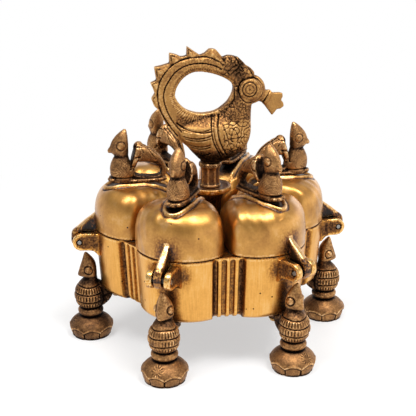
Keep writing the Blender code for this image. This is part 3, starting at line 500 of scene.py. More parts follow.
# Skin on the wall round the root of each pair of ears, and below the ears skin with painted shade, where
# the ears and the leg's head shade the wall.
beside_ear = bell(lobe_v, 6.4, 2.3) * bell(z, HINGE_Z - 0.6, 3.6)
shade_and_skin_under_ear = bell(lobe_v, 0, 4.2, 4) * smooth_step(z, HINGE_Z + 2, HINGE_Z - 6)
grime += (on_wall & (lobe_u < TIP_R + 0.4)) * (0.44 * beside_ear + 0.40 * shade_and_skin_under_ear)
# The ears' faces are dark skin, painted darker between the two ears of a pair as shade, and their rims are
# rubbed bright.
on_ear = smooth_step(lobe_u, TIP_R + 0.3, TIP_R + 3.5)
rim_gap = EAR_HALF_HEIGHT - np.hypot(np.maximum(lobe_u - EAR_CENTRE_R, 0.0), z - HINGE_Z)
in_face = smooth_step(rim_gap, 0.3, 1.5)
ear_face = 0.15 + in_face * np.where(lobe_v < EAR_SIDE, 0.95, 0.65)
grime += (lobe_u > TIP_R + 0.3) * ((1 - on_ear) * 0.5 + on_ear * ear_face * 0.55)
# Painted shade on the ears' undersides.
grime += 0.25 * ((lobe_u > TIP_R + 0.5) & (normals_of(tray_mesh)[:, 2] < -0.4))
# The rim's top under the lids is dark unpolished skin, with a band of painted shade along the wall's top
# edge under the lids' seam; the cups are dull and the underside dark.
grime += 0.42 * top + 0.30 * ((z > RIM_Z - 0.3) & on_wall & ~top)
grime += 0.14 * in_cup + 0.35 * (z < FOOT_Z + 0.2)
ridge = in_strip * bell(abs(abs(strip_v) - GROOVE_CENTRES[2]), GROOVE_CENTRES[2], 0.32) * (1 - groove)
rim_edge = (abs(z - RIM_Z + 0.8) < 0.35) & on_wall
ear_edge = (lobe_u > TIP_R + 1) * (1 - in_face)
paint(tray_mesh, grime=grime, wear=0.06 * ridge + 0.12 * rim_edge + 0.30 * ear_edge)
place_piece("tray_casting", tray_mesh, buffed_wall, "box_body", "cup_tray")

# Each leg is a rougher brass casting: a bun foot with eight petals, a ring, a bulb with rows of beads, and
# a bird's head that looks outwards. Its tail lies under the tray and a rivet holds it there. It was only
# brushed, so dark skin fills its hollows and bare metal shows on its high spots.

LEG_R = 50.78
LEG_PETALS = 8
LEG_BEADS = 30
LEG_EYE = (0.6, 2.75, 29.7)
CURVE_STEPS = 6
OVAL_COLUMNS = 40
BALL_ROWS = 20
THINNEST = 0.02
CAST_VOXEL = 0.26
SOFT_ROUNDS = 2
FINE_ROUNDS = 3
BROAD_ROUNDS = 22


def spline(table, steps):
    """Rows of a table joined by a Catmull-Rom curve, with steps points for each gap between rows."""
    knots = np.asarray(table, float)
    padded = np.vstack([2 * knots[0] - knots[1], knots, 2 * knots[-1] - knots[-2]])
    t = (np.arange(steps) / steps)[:, None]
    a, b, c, d = (padded[i:len(knots) - 1 + i, None] for i in range(4))
    curve = (2 * b + (c - a) * t + (2 * a - 5 * b + 4 * c - d) * t**2 + (3 * b - a - 3 * c + d) * t**3) / 2
    return np.vstack([curve.reshape(-1, knots.shape[1]), knots[-1:]])


def stack(table, columns=64):
    """A closed shell of level rings on a smooth curve. Each row gives the height, where the ring's back and
    front lie along X, its half width, and how much narrower it is in front than behind."""
    z, back, front, half, taper = spline(table, CURVE_STEPS).T[:, :, None]
    turn = around(columns)
    x = (back + front) / 2 + (front - back) / 2 * np.cos(turn)
    y = np.maximum(half, THINNEST) * np.sin(turn) * (1 - taper * np.cos(turn))
    return tube(ring_points(x, y, z))


def squared(wave, squareness):
    """A sine or cosine raised to 2 / squareness, with its sign kept. It fills out the corners of an oval
    as squareness rises above 2."""
    return np.sign(wave) * abs(wave) ** (2 / squareness)


def bar(table, squareness=2.0):
    """A closed bar along a smooth curve in the XZ plane. Each row gives x, z, half thickness and half
    width, and the section is an oval with the given squareness."""
    rows = spline(table, CURVE_STEPS)
    way = np.gradient(rows[:, :2], axis=0)
    way /= np.linalg.norm(way, axis=1, keepdims=True)
    turn = around(OVAL_COLUMNS)
    thick, wide = rows[:, 2:3], rows[:, 3:4]
    c, s = squared(np.cos(turn), squareness), squared(np.sin(turn), squareness)
    x = rows[:, :1] - way[:, 1:] * thick * c
    z = rows[:, 1:2] + way[:, :1] * thick * c
    return tube(ring_points(x, wide * s, z))


def ball(centre, radii, tip=0.0, squareness=2.0):
    """A closed ellipsoid about a centre, its first and third half axes tipped about Y by an angle in
    degrees. Squareness above 2 flattens its first two faces into a disc."""
    up = np.linspace(0, math.pi, BALL_ROWS + 2)[1:-1, None]
    turn = around(OVAL_COLUMNS)
    ring = squared(np.sin(up), squareness)
    x = squared(np.cos(up), squareness) * radii[0]
    y = ring * np.cos(turn) * radii[1]
    z = ring * np.sin(turn) * radii[2]
    c, s = math.cos(math.radians(tip)), math.sin(math.radians(tip))
    return tube(ring_points(x * c - z * s, y, x * s + z * c) + centre)


def ball_pair(centre, radii):
    """Two equal ellipsoids, one on each side of the XZ plane."""
    return [ball((centre[0], side * centre[1], centre[2]), radii) for side in (-1, 1)]


def revolved(radius, z, turn):
    """A closed shell of rings about the upright axis. The radius may change along the rings."""
    return tube(ring_points(radius * np.cos(turn), radius * np.sin(turn), z))


def petal_arch(turn):
    """A wave round the foot: 1 on the middle of each petal, and 0 between two petals."""
    return abs(np.sin(LEG_PETALS / 2 * (turn + math.pi / LEG_PETALS)))


def cast_skin(name, shells, voxel=CAST_VOXEL):
    """One skin over overlapping shells, as a casting from a wax model has. A voxel remesh joins them, and
    each point then moves halfway to the mean of its neighbours, a few times over, to soften corners."""
    rough = add_object(name, mesh_of(name, shells))
    remesh = rough.modifiers.new("skin", "REMESH")
    remesh.mode = "VOXEL"
    remesh.voxel_size = voxel * MM
    bpy.context.view_layer.update()
    graph = bpy.context.evaluated_depsgraph_get()
    mesh = bpy.data.meshes.new_from_object(rough.evaluated_get(graph))
    spent = rough.data
    bpy.data.objects.remove(rough)
    bpy.data.meshes.remove(spent)
    points = points_of(mesh)
    edges = edges_of(mesh)
    for _ in range(SOFT_ROUNDS):
        points = (points + neighbour_mean(points, edges)) / 2
    set_points(mesh, points)
    mesh.shade_smooth()
    return mesh


def edges_of(mesh):
    """The mesh's edges as pairs of vertex numbers."""
    flat = np.empty(len(mesh.edges) * 2, np.int32)
    mesh.edges.foreach_get("vertices", flat)
    return flat.reshape(-1, 2)


def set_points(mesh, points):
    """Move the mesh's vertices to points given in millimetres."""
    mesh.vertices.foreach_set("co", (points * MM).astype(np.float32).ravel())
    mesh.update()


def neighbour_mean(points, edges):
    """The mean of each vertex's neighbours along the edges."""
    start, end = edges.T
    size = len(points)
    count = np.bincount(edges.ravel(), minlength=size)
    total = [np.bincount(start, way[end], size) + np.bincount(end, way[start], size) for way in points.T]
    return np.stack(total, -1) / np.maximum(count, 1)[:, None]


def hollowness(mesh, rounds):
    """How deep each vertex lies below its surroundings, in mm: the mean of its neighbours, taken again and
    again, less the vertex itself, measured along its normal. Crests come out negative."""
    points, edges, normals = points_of(mesh), edges_of(mesh), normals_of(mesh)
    mean = points
    for _ in range(rounds):
        mean = neighbour_mean(mean, edges)
    return ((mean - points) * normals).sum(-1)


def displace(mesh, depth):
    """Move each vertex along its normal by a depth in mm."""
    set_points(mesh, points_of(mesh) + normals_of(mesh) * depth[:, None])


def age_casting(mesh, hollow=4.25, broad=1.08, crest=3.4, extra=0.0, rub=0.0):
    """Paint a casting's hollows as grime and its crests as wear, from its fine and its broad relief. Extra
    is added to the grime, and for some castings it holds painted shade; rub is added to the wear.
    """
    fine, wide = hollowness(mesh, FINE_ROUNDS), hollowness(mesh, BROAD_ROUNDS)
    grime = np.maximum(fine, 0) * hollow + np.maximum(wide, 0) * broad
    wear = np.maximum(-fine, 0) * crest + np.maximum(-wide, 0) * 0.5
    paint(mesh, grime=np.clip(grime, 0, 0.75) + extra, wear=np.clip(wear, 0, 0.8) + rub)


# Brass that was cast and only brushed. It shows a brown skin that is almost black in hollows, bare gold on
# high spots, and a fine sandy grain. Towards the -X end of the box it is painted darker, as shade.
BRUSHED_TONES = ("#E9C18F", "#C08F59", "#8F6742", "#5F432E", "#332318", "#160D09")
brushed_leg = aged_metal(
    "brushed_leg_brass", BRUSHED_TONES, 0.42, blotch=(2.6, 0.50), grain=(0.55, 0.42), streak=(1.2, 0.06),
    gloss=(0.42, 0.68), relief=0.12, shade_at_minus_x=0.14,
)

foot_rows = spline([
    (-0.3, 7.7), (0.3, 8.3), (2.2, 9.0), (3.8, 9.2), (5.4, 8.7), (6.9, 7.4), (8.1, 5.6), (9.0, 4.5),
    (11.0, 4.3),
], CURVE_STEPS)
foot_z = foot_rows[:, :1]
foot_turn = around(160)
foot_radius = foot_rows[:, 1:] * (1 - 0.035 * (1 - petal_arch(foot_turn)) ** 3 * smooth_step(foot_z, 5, 3))
neck_and_bulb = [
    (8.2, -4.2, 4.3, 4.2, 0), (9.4, -4.4, 4.5, 4.45, 0), (10.1, -5.1, 5.2, 5.15, 0),
    (11.2, -5.2, 5.35, 5.3, 0), (12.1, -4.6, 4.8, 4.7, 0), (12.7, -4.2, 4.5, 4.3, 0),
    (13.5, -4.6, 5.1, 4.85, 0), (15.0, -5.3, 6.0, 5.65, 0), (17.0, -5.6, 6.5, 6.05, 0),
    (19.0, -5.5, 6.5, 6.0, 0), (21.0, -5.0, 5.95, 5.5, 0), (22.8, -4.1, 4.9, 4.6, 0),
    (24.2, -3.4, 3.6, 3.8, 0), (25.6, -3.1, 2.4, 3.1, 0.1), (27.0, -3.0, 2.6, 3.0, 0.1),
]
hood = [
    (26.2, -2.9, 3.9, 2.6, 0.45), (26.7, -3.0, 4.75, 3.05, 0.5), (27.6, -3.05, 4.75, 3.3, 0.5),
    (29.0, -3.0, 4.3, 3.4, 0.42), (30.6, -2.9, 3.8, 3.25, 0.35), (32.4, -2.5, 3.15, 2.7, 0.25),
    (34.2, -1.5, 2.6, 1.95, 0.15), (35.8, -0.1, 2.1, 1.1, 0.1), (36.8, 0.85, 1.7, 0.45, 0),
]
tail = [
    (1.0, 20.7, 3.6, 2.7), (-2.4, 20.6, 3.5, 2.7), (-4.3, 20.0, 2.9, 2.6), (-5.8, 19.4, 2.0, 2.5),
    (-7.8, 19.4, 1.3, 2.45), (-11.0, 19.5, 1.25, 2.45), (-15.3, 19.7, 1.05, 2.4), (-16.7, 19.8, 0.7, 1.6),
]
web = [
    (-1.5, 13.6, 1.8, 2.3), (-3.8, 14.5, 2.2, 2.4), (-6.0, 16.0, 2.1, 2.4), (-7.6, 17.4, 1.6, 2.4),
    (-8.6, 18.4, 1.0, 2.2),
]
leg_shells = [revolved(foot_radius, foot_z, foot_turn), stack(neck_and_bulb), stack(hood)]
leg_shells += [bar(tail, 4.0), bar(web, 3.0)] + ball_pair(LEG_EYE, (1.55, 1.0, 1.75))
leg_mesh = cast_skin("leg", leg_shells)
level_foot = points_of(leg_mesh)
level_foot[:, 2] = np.maximum(level_foot[:, 2], 0.0)
set_points(leg_mesh, level_foot)
x, y, z = points_of(leg_mesh).T
# The foot: a step with a lip above it, which dips between the petals, and a groove below each dip.
turn = np.arctan2(y, x - 0.45)
arch = petal_arch(turn)
line_z = 3.1 + 1.5 * arch**0.8
depth = (z < 7.4) * (0.2 * bell(z - line_z, 0.35, 0.4) - 0.32 * smooth_step(line_z - z, -0.1, 0.45))
depth -= (z < line_z) * 0.5 * bell(arch, 0, 0.12)
# The bulb: three rows of beads, plainer in front, and a wavy line above each.
free = smooth_step(x, -4.6, -3.4)
plain_front = 1 - 0.7 * bell(turn, 0, 0.5, 4)
for bead_z, half in ((21.0, 1.15), (17.7, 1.15), (14.5, 0.95)):
    band = smooth_step(half - abs(z - bead_z), 0.0, 0.3)
    bead = abs(np.sin(LEG_BEADS / 2 * turn + bead_z)) ** 0.7
    depth += free * band * plain_front * (0.52 * bead - 0.32)
for line in (22.6, 19.4, 16.0):
    depth -= free * 0.42 * bell(z, line + 0.18 * np.sin(3 * turn), 0.30)
depth -= free * 0.35 * bell(z, 12.75, 0.45) + 0.35 * bell(z, 9.0, 0.4) * (np.hypot(x, y) < 5.6)
# The eyes, and a rosette on the front of the foot.
eye_gap = np.hypot(x - LEG_EYE[0], z - LEG_EYE[2])
depth += (abs(y) > 1.4) * (0.15 * bell(eye_gap, 0, 1.0, 4) - 0.30 * bell(eye_gap, 1.75, 0.3))
rose_up = (z - 6.6) * 1.2
rose_reach = np.hypot(y, rose_up)
rosette = smooth_step(rose_reach, 2.6, 1.9) * smooth_step(rose_reach, 0.2, 0.8) * (x > 3)
depth += rosette * 0.08 * np.sin(12 * np.arctan2(y, rose_up))
displace(leg_mesh, np.where(z < 0.05, 0.0, depth))
x, y, z = points_of(leg_mesh).T
# Painted shade on the back facing the tray, along the foot's bottom edge on the table and on the neck under
# the hood, and dark skin in the groove at 9 mm.
dark = 0.32 * smooth_step(x, -1, -5) * smooth_step(z, 6, 12) + 0.4 * smooth_step(z, 1.2, 0.2)
dark += 0.25 * bell(z, 25.0, 1.3) * (np.hypot(x, y) < 5) + 0.25 * bell(z, 9.0, 0.6)
age_casting(leg_mesh, extra=dark, rub=0.14 * smooth_step(z, 27.5, 29.0))
leg_mesh.transform(Matrix.Translation((LEG_R * MM, 0, 0)))
place_round("leg_casting_{}", leg_mesh, brushed_leg, "box_body", "leg_{}")

# Six hinge pins of plain steel wire pass through the ears and the lids' tongues, and their ends are
# peened. The rivets, screws, washer and nut that hold legs, birds and stem are turned brass.

STEEL_TONES = ("#D9D8D4", "#A5A29D", "#7B7873", "#4E4A45", "#2A2622")
TURNED_TONES = ("#F3D79C", "#DDAE66", "#B07C3C", "#6B4822", "#2E1C0E")
pin_steel = aged_metal(
    "dull_steel_wire", STEEL_TONES, 0.34, blotch=(1.5, 0.3), grain=(0.3, 0.2), streak=(0.5, 0.05),
    gloss=(0.35, 0.6), relief=0.03,
)
turned_brass = aged_metal(
    "turned_brass", TURNED_TONES, 0.34, blotch=(3.0, 0.2), grain=(0.3, 0.12), streak=(0.6, 0.1),
    gloss=(0.25, 0.5), relief=0.03,
)
for lobe in range(1, LOBES + 1):
    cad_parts[f"hinge_pin_{lobe}"].data.materials[0] = pin_steel
    for name in (f"leg_rivet_{lobe}", f"bird_screw_{lobe}"):
        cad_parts[name].data.materials[0] = turned_brass
for name in ("stem_washer", "stem_nut"):
    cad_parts[name].data.materials[0] = turned_brass

# Each lid is a thin domed casting, buffed smooth, with a tongue that turns on the hinge pin. A raised rib
# runs round the bird's seat like the edge of a leaf. Inside the rib and beside the tongue it is darker, with
# skin and painted shade.

LID_RIM_Z = RIM_Z + 0.3
LID_HEIGHT = 18.6
LID_WALL = 1.4
LID_SIDE_GAP = 1.0
LID_INNER_R = 9.2
LID_DROP = 6.8
LID_COLUMNS = 176
LID_EDGE = 0.38
FIRST_TURN = 0.015
TONGUE_HALF = 1.5
TONGUE_HOLE_R = 1.3
TONGUE_END = 3.1
LEAF_HALF = 5.0
LEAF_FRONT = 43.0
LEAF_WIDEST = 33.0
LEAF_BACK = 16.0


def dome(inset, wall, turns):
    """Rings of a lid's dome from rim to crown, inset from its widest plan. The petal plan shrinks towards
    the lobe's centre and the height, less the wall, grows along a fourth-power superellipse. The crown
    sinks towards the middle of the box."""
    plan = petal(LOBE_RADIUS - inset, LID_SIDE_GAP + inset, LID_INNER_R + inset, LID_COLUMNS)
    size = (np.cos(turns) ** 4 + np.sin(turns) ** 4) ** 0.25
    out, up = (np.cos(turns) / size)[:, None], (np.sin(turns) / size)[:, None]
    u = LOBE_CENTRE + (plan[:, 0] - LOBE_CENTRE) * out
    inward = np.clip((LOBE_CENTRE - u) / (LOBE_CENTRE - LID_INNER_R), 0, 1)
    return ring_points(u, plan[:, 1] * out, LID_RIM_Z + (LID_HEIGHT - LID_DROP * inward**1.5 - wall) * up)


def distance_to(points, line):
    """Distance from each (n, 2) point to the nearest place on an open line of (m, 2) points."""
    start, along = line[:-1], np.diff(line, axis=0)
    share = ((points[:, None] - start) * along).sum(-1) / (along**2).sum(-1)
    gap = points[:, None] - start - np.clip(share, 0, 1)[..., None] * along
    return np.sqrt((gap**2).sum(-1).min(1))


def leaf_half(u):
    """Half width of the leaf-shaped rib at u: an ellipse in front of its widest place, and a slow curve
    inwards behind it."""
    front = LEAF_HALF * np.sqrt(np.clip(1 - ((u - LEAF_WIDEST) / (LEAF_FRONT - LEAF_WIDEST)) ** 2, 0, 1))
    back = LEAF_HALF - 1.6 * (np.clip(LEAF_WIDEST - u, 0, None) / (LEAF_WIDEST - LEAF_BACK)) ** 1.6
    return np.where(u > LEAF_WIDEST, front, back)


outer = dome(0.0, 0.0, np.linspace(FIRST_TURN, math.pi / 2, 88)[:-1])
inner = dome(LID_WALL, LID_WALL, np.linspace(FIRST_TURN, math.pi / 2, 26)[:-1])
rims = [dome(inset, 0.0, np.zeros(1)) for inset in (LID_WALL - LID_EDGE, LID_EDGE)]
shell = tube(np.concatenate([inner[::-1], *rims, outer]))
# The tongue from the side: its sloping top, a round heel about the pin, and a root inside the dome.
nose = spline([
    (TIP_R - 1.0, LID_RIM_Z + 7.2), (TIP_R + 1.3, LID_RIM_Z + 5.3), (HINGE_R - 2.5, HINGE_Z + 7.9),
    (HINGE_R + 0.4, HINGE_Z + 5.5), (HINGE_R + 2.2, HINGE_Z + 4.05), (HINGE_R + 2.9, HINGE_Z + 2.75),
], CURVE_STEPS)
heel_turn = np.radians(np.linspace(20, -135, 24))[1:]
heel = np.stack([HINGE_R + TONGUE_END * np.cos(heel_turn), HINGE_Z + TONGUE_END * np.sin(heel_turn)], -1)
outline = np.vstack([nose, heel, [(TIP_R + 0.5, LID_RIM_Z), (TIP_R - 1.2, LID_RIM_Z + 0.05)]])
tongue, tongue_faces = lug(outline, (HINGE_R, HINGE_Z), TONGUE_HOLE_R, TONGUE_HALF, 0.0, columns=120)
x, z = tongue[:, 0], tongue[:, 2]
root = np.exp(-np.maximum(x - TIP_R, 0) / 0.9) * smooth_step(z, LID_RIM_Z + 4, LID_RIM_Z)
below_top = np.interp(x, *nose.T) - z
tongue[:, 1] *= 1 + 0.5 * root
tongue[:, 1] *= 0.78 + 0.22 * smooth_step(below_top, 0.0, 1.2)
tongue[:, 1] *= 0.72 + 0.28 * smooth_step(x, TIP_R - 1, TIP_R + 3)
lid_mesh = mesh_of("lid", [shell, (tongue, tongue_faces)])
lid_mesh.set_sharp_from_angle(angle=math.radians(55))

x, y, z = points_of(lid_mesh).T
along = LEAF_BACK + (LEAF_FRONT - LEAF_BACK) * np.sin(np.linspace(0, math.pi / 2, 120))
leaf_side = np.stack([along, leaf_half(along)], -1)
leaf = np.vstack([leaf_side, (leaf_side * (1, -1))[-2::-1]])
gap = distance_to(np.stack([x, y], -1), leaf)
gap = np.where((abs(y) < leaf_half(x)) & (x < LEAF_FRONT), -gap, gap)
outward = normals_of(lid_mesh)[:, 2] > -0.02
top = outward & (x < 44.0) & (z > LID_RIM_Z + 6)
fade = top * smooth_step(x, LEAF_BACK - 1, LEAF_BACK + 3)
rib = 0.85 * bell(gap, 0, 0.62) - 0.34 * bell(gap, 1.3, 0.42) - 0.25 * smooth_step(gap, -0.5, -1.1)
dents = np.sin(x * 0.55 + 1.3) * np.sin(y * 0.62 + 0.4) + 0.6 * np.sin(x * 0.9 + y * 1.1 + z * 0.7)
displace(lid_mesh, rib * fade + 0.12 * dents * (outward & (x < 45.5)))
# Skin in the groove beside the rib, and inside the rib skin with painted shade where the bird's base
# shades the lid. Skin and painted shade on the tongue's faces, painted shade on the dome beside the
# tongue's root and along the lid's bottom edge at the seam, and skin inside the lid. The top of the
# tongue and its nose are rubbed bright.
on_tongue = (x > TIP_R + 0.25) | ((z < LID_RIM_Z + 7.4) & (x > TIP_R - 0.6) & (abs(y) < TONGUE_HALF * 0.8))
hub_gap = np.hypot(x - HINGE_R, z - HINGE_Z)
on_nose = (hub_gap > 2.5) & (x > HINGE_R + 0.5) & (z > HINGE_Z + 1.2)
bright_edge = on_tongue & ((z > np.interp(x, *nose[:-3].T) - 0.9) | on_nose)
beside = outward * bell(abs(y), 1.2, 3.0) * smooth_step(x, TIP_R - 5.0, TIP_R - 1) * smooth_step(z, 59, 52)
tongue_face = 0.50 - 0.48 * smooth_step(hub_gap, 2.0, 2.7) * (x > HINGE_R - 1.5)
grime = 0.62 * fade * (bell(gap, 1.25, 0.42) + smooth_step(gap, -0.45, -1.2))
grime += np.where(on_tongue, np.where(bright_edge, -0.05, tongue_face), 0.42 * beside)
# Painted shade along the lid's bottom edge at the seam, and skin inside the lid.
grime += np.where(outward, 0.50 * (z < LID_RIM_Z + 0.5), 0.16)
wear = 0.35 * fade * bell(gap, 0, 0.5) + 0.42 * bright_edge
wear += 0.15 * ((abs(z - LID_RIM_Z - 0.8) < 0.4) & outward)
paint(lid_mesh, grime=grime, wear=wear)
# The same buffed brass as the walls, but smoother, and dulled by age and wax to a deeper brown gold.
DOME_TONES = ("#EEC28A", "#CF9748", "#9E682C", "#6A4122", "#352013", "#170C06")
buffed_dome = aged_metal(
    "buffed_dome_brass", DOME_TONES, 0.24, blotch=(6.0, 0.46), grain=(0.8, 0.12), streak=(0.9, 0.06),
    gloss=(0.34, 0.50), relief=0.05, pits=0.05,
)
wax = buffed_dome.node_tree.nodes["Principled BSDF"]
wax.inputs["Coat Weight"].default_value = 0.6
wax.inputs["Coat Roughness"].default_value = 0.26
place_round("lid_casting_{}", lid_mesh, buffed_dome, "lid_{}_body", "lid_{}")

# A small bird stands on each lid, cast in one with its base: a crested head, a punched breast, an upright
# fan behind it, and a tail that loops back down to the base. A screw from inside the lid holds it.

BIRD_EYE = (36.4, 2.45, 82.0)
FAN_CENTRE = (30.55, 0.0, 77.2)
FAN_TIP = 15.6

bird_base = [
    (18.0, 67.25, 0.5, 1.3), (18.9, 67.3, 0.8, 2.6), (21.0, 67.3, 0.85, 3.3), (25.0, 67.3, 0.85, 3.75),
    (30.0, 67.3, 0.85, 3.8), (36.0, 67.3, 0.85, 3.75), (38.6, 67.35, 0.85, 3.3), (40.2, 67.5, 0.85, 2.3),
    (41.2, 67.75, 0.8, 1.2), (41.75, 68.0, 0.45, 0.5),
]
bird_body = [
    (66.9, 32.2, 39.6, 3.2, 0), (67.8, 31.2, 40.3, 3.8, 0.05), (69.4, 30.8, 40.7, 4.15, 0.1),
    (71.5, 31.0, 40.9, 4.2, 0.1), (73.4, 31.8, 40.7, 4.0, 0.1), (75.0, 32.7, 40.2, 3.5, 0.1),
    (76.3, 33.1, 39.6, 3.05, 0.1), (77.3, 33.2, 39.2, 2.8, 0.1), (78.3, 33.3, 39.8, 2.7, 0.25),
    (79.4, 33.3, 40.8, 2.75, 0.35), (80.7, 33.3, 40.8, 2.95, 0.35), (82.1, 33.3, 40.4, 3.05, 0.35),
    (83.7, 33.4, 39.7, 2.85, 0.35), (85.2, 33.5, 38.6, 2.4, 0.3), (86.6, 33.7, 37.2, 1.75, 0.25),
    (87.7, 33.9, 35.8, 1.1, 0.1), (88.3, 34.1, 34.9, 0.45, 0),
]
bird_tail = [
    (30.2, 78.3, 3.3, 3.4), (28.4, 78.2, 3.5, 3.5), (26.0, 77.6, 3.0, 3.2), (23.7, 76.6, 2.4, 2.75),
    (21.6, 75.1, 1.9, 2.3), (20.0, 73.0, 1.5, 1.95), (19.3, 70.8, 1.3, 1.85), (19.9, 68.8, 1.1, 1.9),
    (21.8, 68.0, 0.95, 2.1), (25.0, 67.9, 0.9, 2.4), (29.0, 68.1, 1.0, 2.6), (32.5, 69.0, 1.3, 2.4),
]
beak = [
    (37.6, 80.9, 2.0, 1.8), (39.3, 80.3, 1.7, 1.5), (40.5, 79.7, 1.2, 1.1), (41.2, 79.2, 0.75, 0.7),
    (41.5, 79.0, 0.35, 0.3),
]
bird_shells = [bar(bird_base, 4.0), stack(bird_body), bar(bird_tail, 3.6), bar(beak)]
bird_shells.append(ball(FAN_CENTRE, (1.15, 4.05, 5.9), FAN_TIP, 5.0))
bird_shells.append(ball((29.2, 0, 80.6), (2.2, 2.3, 2.4), 15.0))
bird_shells += ball_pair((40.1, 1.9, 67.9), (1.2, 1.25, 1.0)) + ball_pair(BIRD_EYE, (1.55, 1.0, 1.6))
bird_mesh = cast_skin("lid_bird", bird_shells)
x, y, z = points_of(bird_mesh).T
nx, _, nz = normals_of(bird_mesh).T
# A ring round each eye, and a line round the neck and round the foot of the breast.
eye_gap = np.hypot(x - BIRD_EYE[0], z - BIRD_EYE[2])
depth = -0.20 * bell(eye_gap, 1.8, 0.32) * ((abs(y) > 1.3) & (z > 78))
depth -= 0.18 * bell(z, 77.4, 0.7) * (x > 32.8) + 0.30 * bell(z, 68.9, 0.4) * (x > 31)
# The fan's edge is notched. The tail has cross ribs, a groove along its middle and a line on each side.
past_fan = (x - 31.3) * 0.963 + (z - 78.8) * 0.268
on_face = (past_fan > -0.35) & (nx > 0.75) & (x < 33.6) & (z > 71)
on_edge = (past_fan > -2.9) & (past_fan < 0.2) & (x < 34) & (abs(nx) < 0.7) & (z > 72) & (abs(y) > 2.6)
notches = bell(np.cos(3 * np.arctan2(y, z - FAN_CENTRE[2])), 0, 0.35)
outer_side = nx * (x - 25.2) + nz * (z - 71.8) > 0
on_tail = outer_side & (past_fan < -2.2) & (z > 69.5) & (x < 30)
ribs = 0.24 * (z > 72) * bell(np.sin(1.1 * (x - 0.6 * z)), 0, 0.30)
lines = 0.45 * smooth_step(1.0 - abs(y), 0.0, 0.4) + 0.25 * bell(abs(y), 1.9, 0.25) * (x > 22)
depth -= 0.42 * on_edge * notches + on_tail * (ribs + lines)
punched = np.sin(x * 6.2 + 2 * np.sin(z * 1.3)) * np.sin(y * 6.4 + 1.1)
punched *= np.sin(z * 6.0 + 0.7 * np.sin(x * 2.1))
on_breast = (x > 34) & (z < 77.6) & (z > 69.4)
displace(bird_mesh, depth + np.where(on_breast, 0.11, 0.05) * punched)
# Painted shade inside the tail's loop, round the foot of the base where it meets the lid, and under the head
# at the throat. The fan's face is darker too, and the notched edge of the fan rubbed.
in_loop = (x > 20) & (x < 31) & (z > 68.0) & (z < 75) & ~outer_side
skirt = 0.3 * smooth_step(z, 68.4, 67.2) + 0.22 * bell(z, 77.5, 1.0) * (x > 32.8)
dark = 0.42 * on_face + 0.35 * in_loop + skirt
age_casting(bird_mesh, extra=dark, rub=np.where(on_face, -0.1, 0.20 * on_edge))
# The same brushed casting brass as the legs, a little lighter from handling, and painted darker towards
# the -X end of the box, as shade.
brushed_bird = aged_metal(
    "brushed_bird_brass", BRUSHED_TONES, 0.38, blotch=(2.4, 0.50), grain=(0.5, 0.36), streak=(1.2, 0.08),
    gloss=(0.38, 0.64), relief=0.10, shade_at_minus_x=0.16,
)
place_round("bird_casting_{}", bird_mesh, brushed_bird, "lid_{}_body", "lid_bird_{}")

# A turned disc on a post stands in the middle of the tray. The octagonal stem passes down through both,
# and a washer and nut clamp it under the tray. A roped collar at its top carries the peacock.

STEM_SIDES = 8
ROPE_TURNS = 26
ROPE_Z = 72.05

disc_rows = spline([
    (4.9, 47.25), (5.2, 47.4), (5.0, 48.2), (4.6, 50.5), (4.5, 54.0), (4.8, 57.5), (5.9, 59.8),
    (7.4, 60.8), (8.3, 61.15), (8.6, 61.5), (8.65, 62.3), (8.6, 62.95), (8.3, 63.25), (7.9, 63.2),
    (7.4, 62.95), (5.0, 62.9), (3.6, 62.9),
], 4)
disc_mesh = mesh_of("disc", [revolved(disc_rows[:, :1], disc_rows[:, 1:], around(96))])
x, y, z = points_of(disc_mesh).T
reach = np.hypot(x, y)
# Painted shade under the disc and down its post. The top inside the rim is darker, and the rim's edge is
# rubbed.
grime = 0.12 + 0.28 * smooth_step(reach, 8.2, 7.2) * (z > 62) + 0.35 * (z < 60.5)
paint(disc_mesh, grime=grime, wear=0.25 * (reach > 8.35))
place_piece("disc_turning", disc_mesh, buffed_dome, "box_body", "stem_disc")

stem_rows = spline([
    (4.35, 63.2, 0), (4.35, 63.7, 0), (4.0, 64.2, 1), (3.8, 65.2, 1), (3.7, 67.5, 1), (3.72, 69.6, 1),
    (3.9, 70.7, 1), (4.1, 71.1, 0), (4.55, 71.4, 0), (4.7, 72.0, 0), (4.6, 72.7, 0), (4.1, 73.15, 0),
    (3.4, 73.2, 0),
], CURVE_STEPS)
turn = around(208)
radius, z, flat_share = stem_rows.T[:, :, None]
flat_share = np.clip(flat_share, 0, 1)
sector = 2 * math.pi / STEM_SIDES
octagon = math.cos(sector / 2) / np.cos((turn + sector / 2) % sector - sector / 2) * 1.03
rope = bell(z, ROPE_Z, 0.55) * (1 - abs(np.sin(ROPE_TURNS / 2 * (turn + 0.25 * (z - 72)))))
radius = radius * (1 - flat_share + flat_share * octagon) - 0.28 * rope
stem_mesh = mesh_of("stem", [revolved(radius, z, turn)])
corner = abs(np.sin(STEM_SIDES / 2 * np.arctan2(*points_of(stem_mesh).T[1::-1]))) ** 8
age_casting(stem_mesh, extra=0.10 * (1 - corner), rub=0.35 * corner)
brushed_stem = aged_metal(
    "brushed_stem_brass", BRUSHED_TONES, 0.38, blotch=(2.4, 0.40), grain=(0.42, 0.28), streak=(0.8, 0.22),
    gloss=(0.33, 0.58), relief=0.07,
)
place_piece("stem_casting", stem_mesh, brushed_stem, "box_body", "peacock_stem")

# The peacock is one solid brass casting, chased by hand after it came from the mould. Its tail curls up
# and over into a ring with a toothed edge, which is the handle, and it holds a leaf in its beak. Its base
# is brazed to the stem's collar. Dark skin lies in every line, and the rubbed surface between is dull gold.

PLATE_HALF = 2.5
EYE_X = 16.2
EYE_Z = 102.6
LEAF_THIN = 1.15
FOOT_RING_Z = 74.2
PEACOCK_VOXEL = 0.30

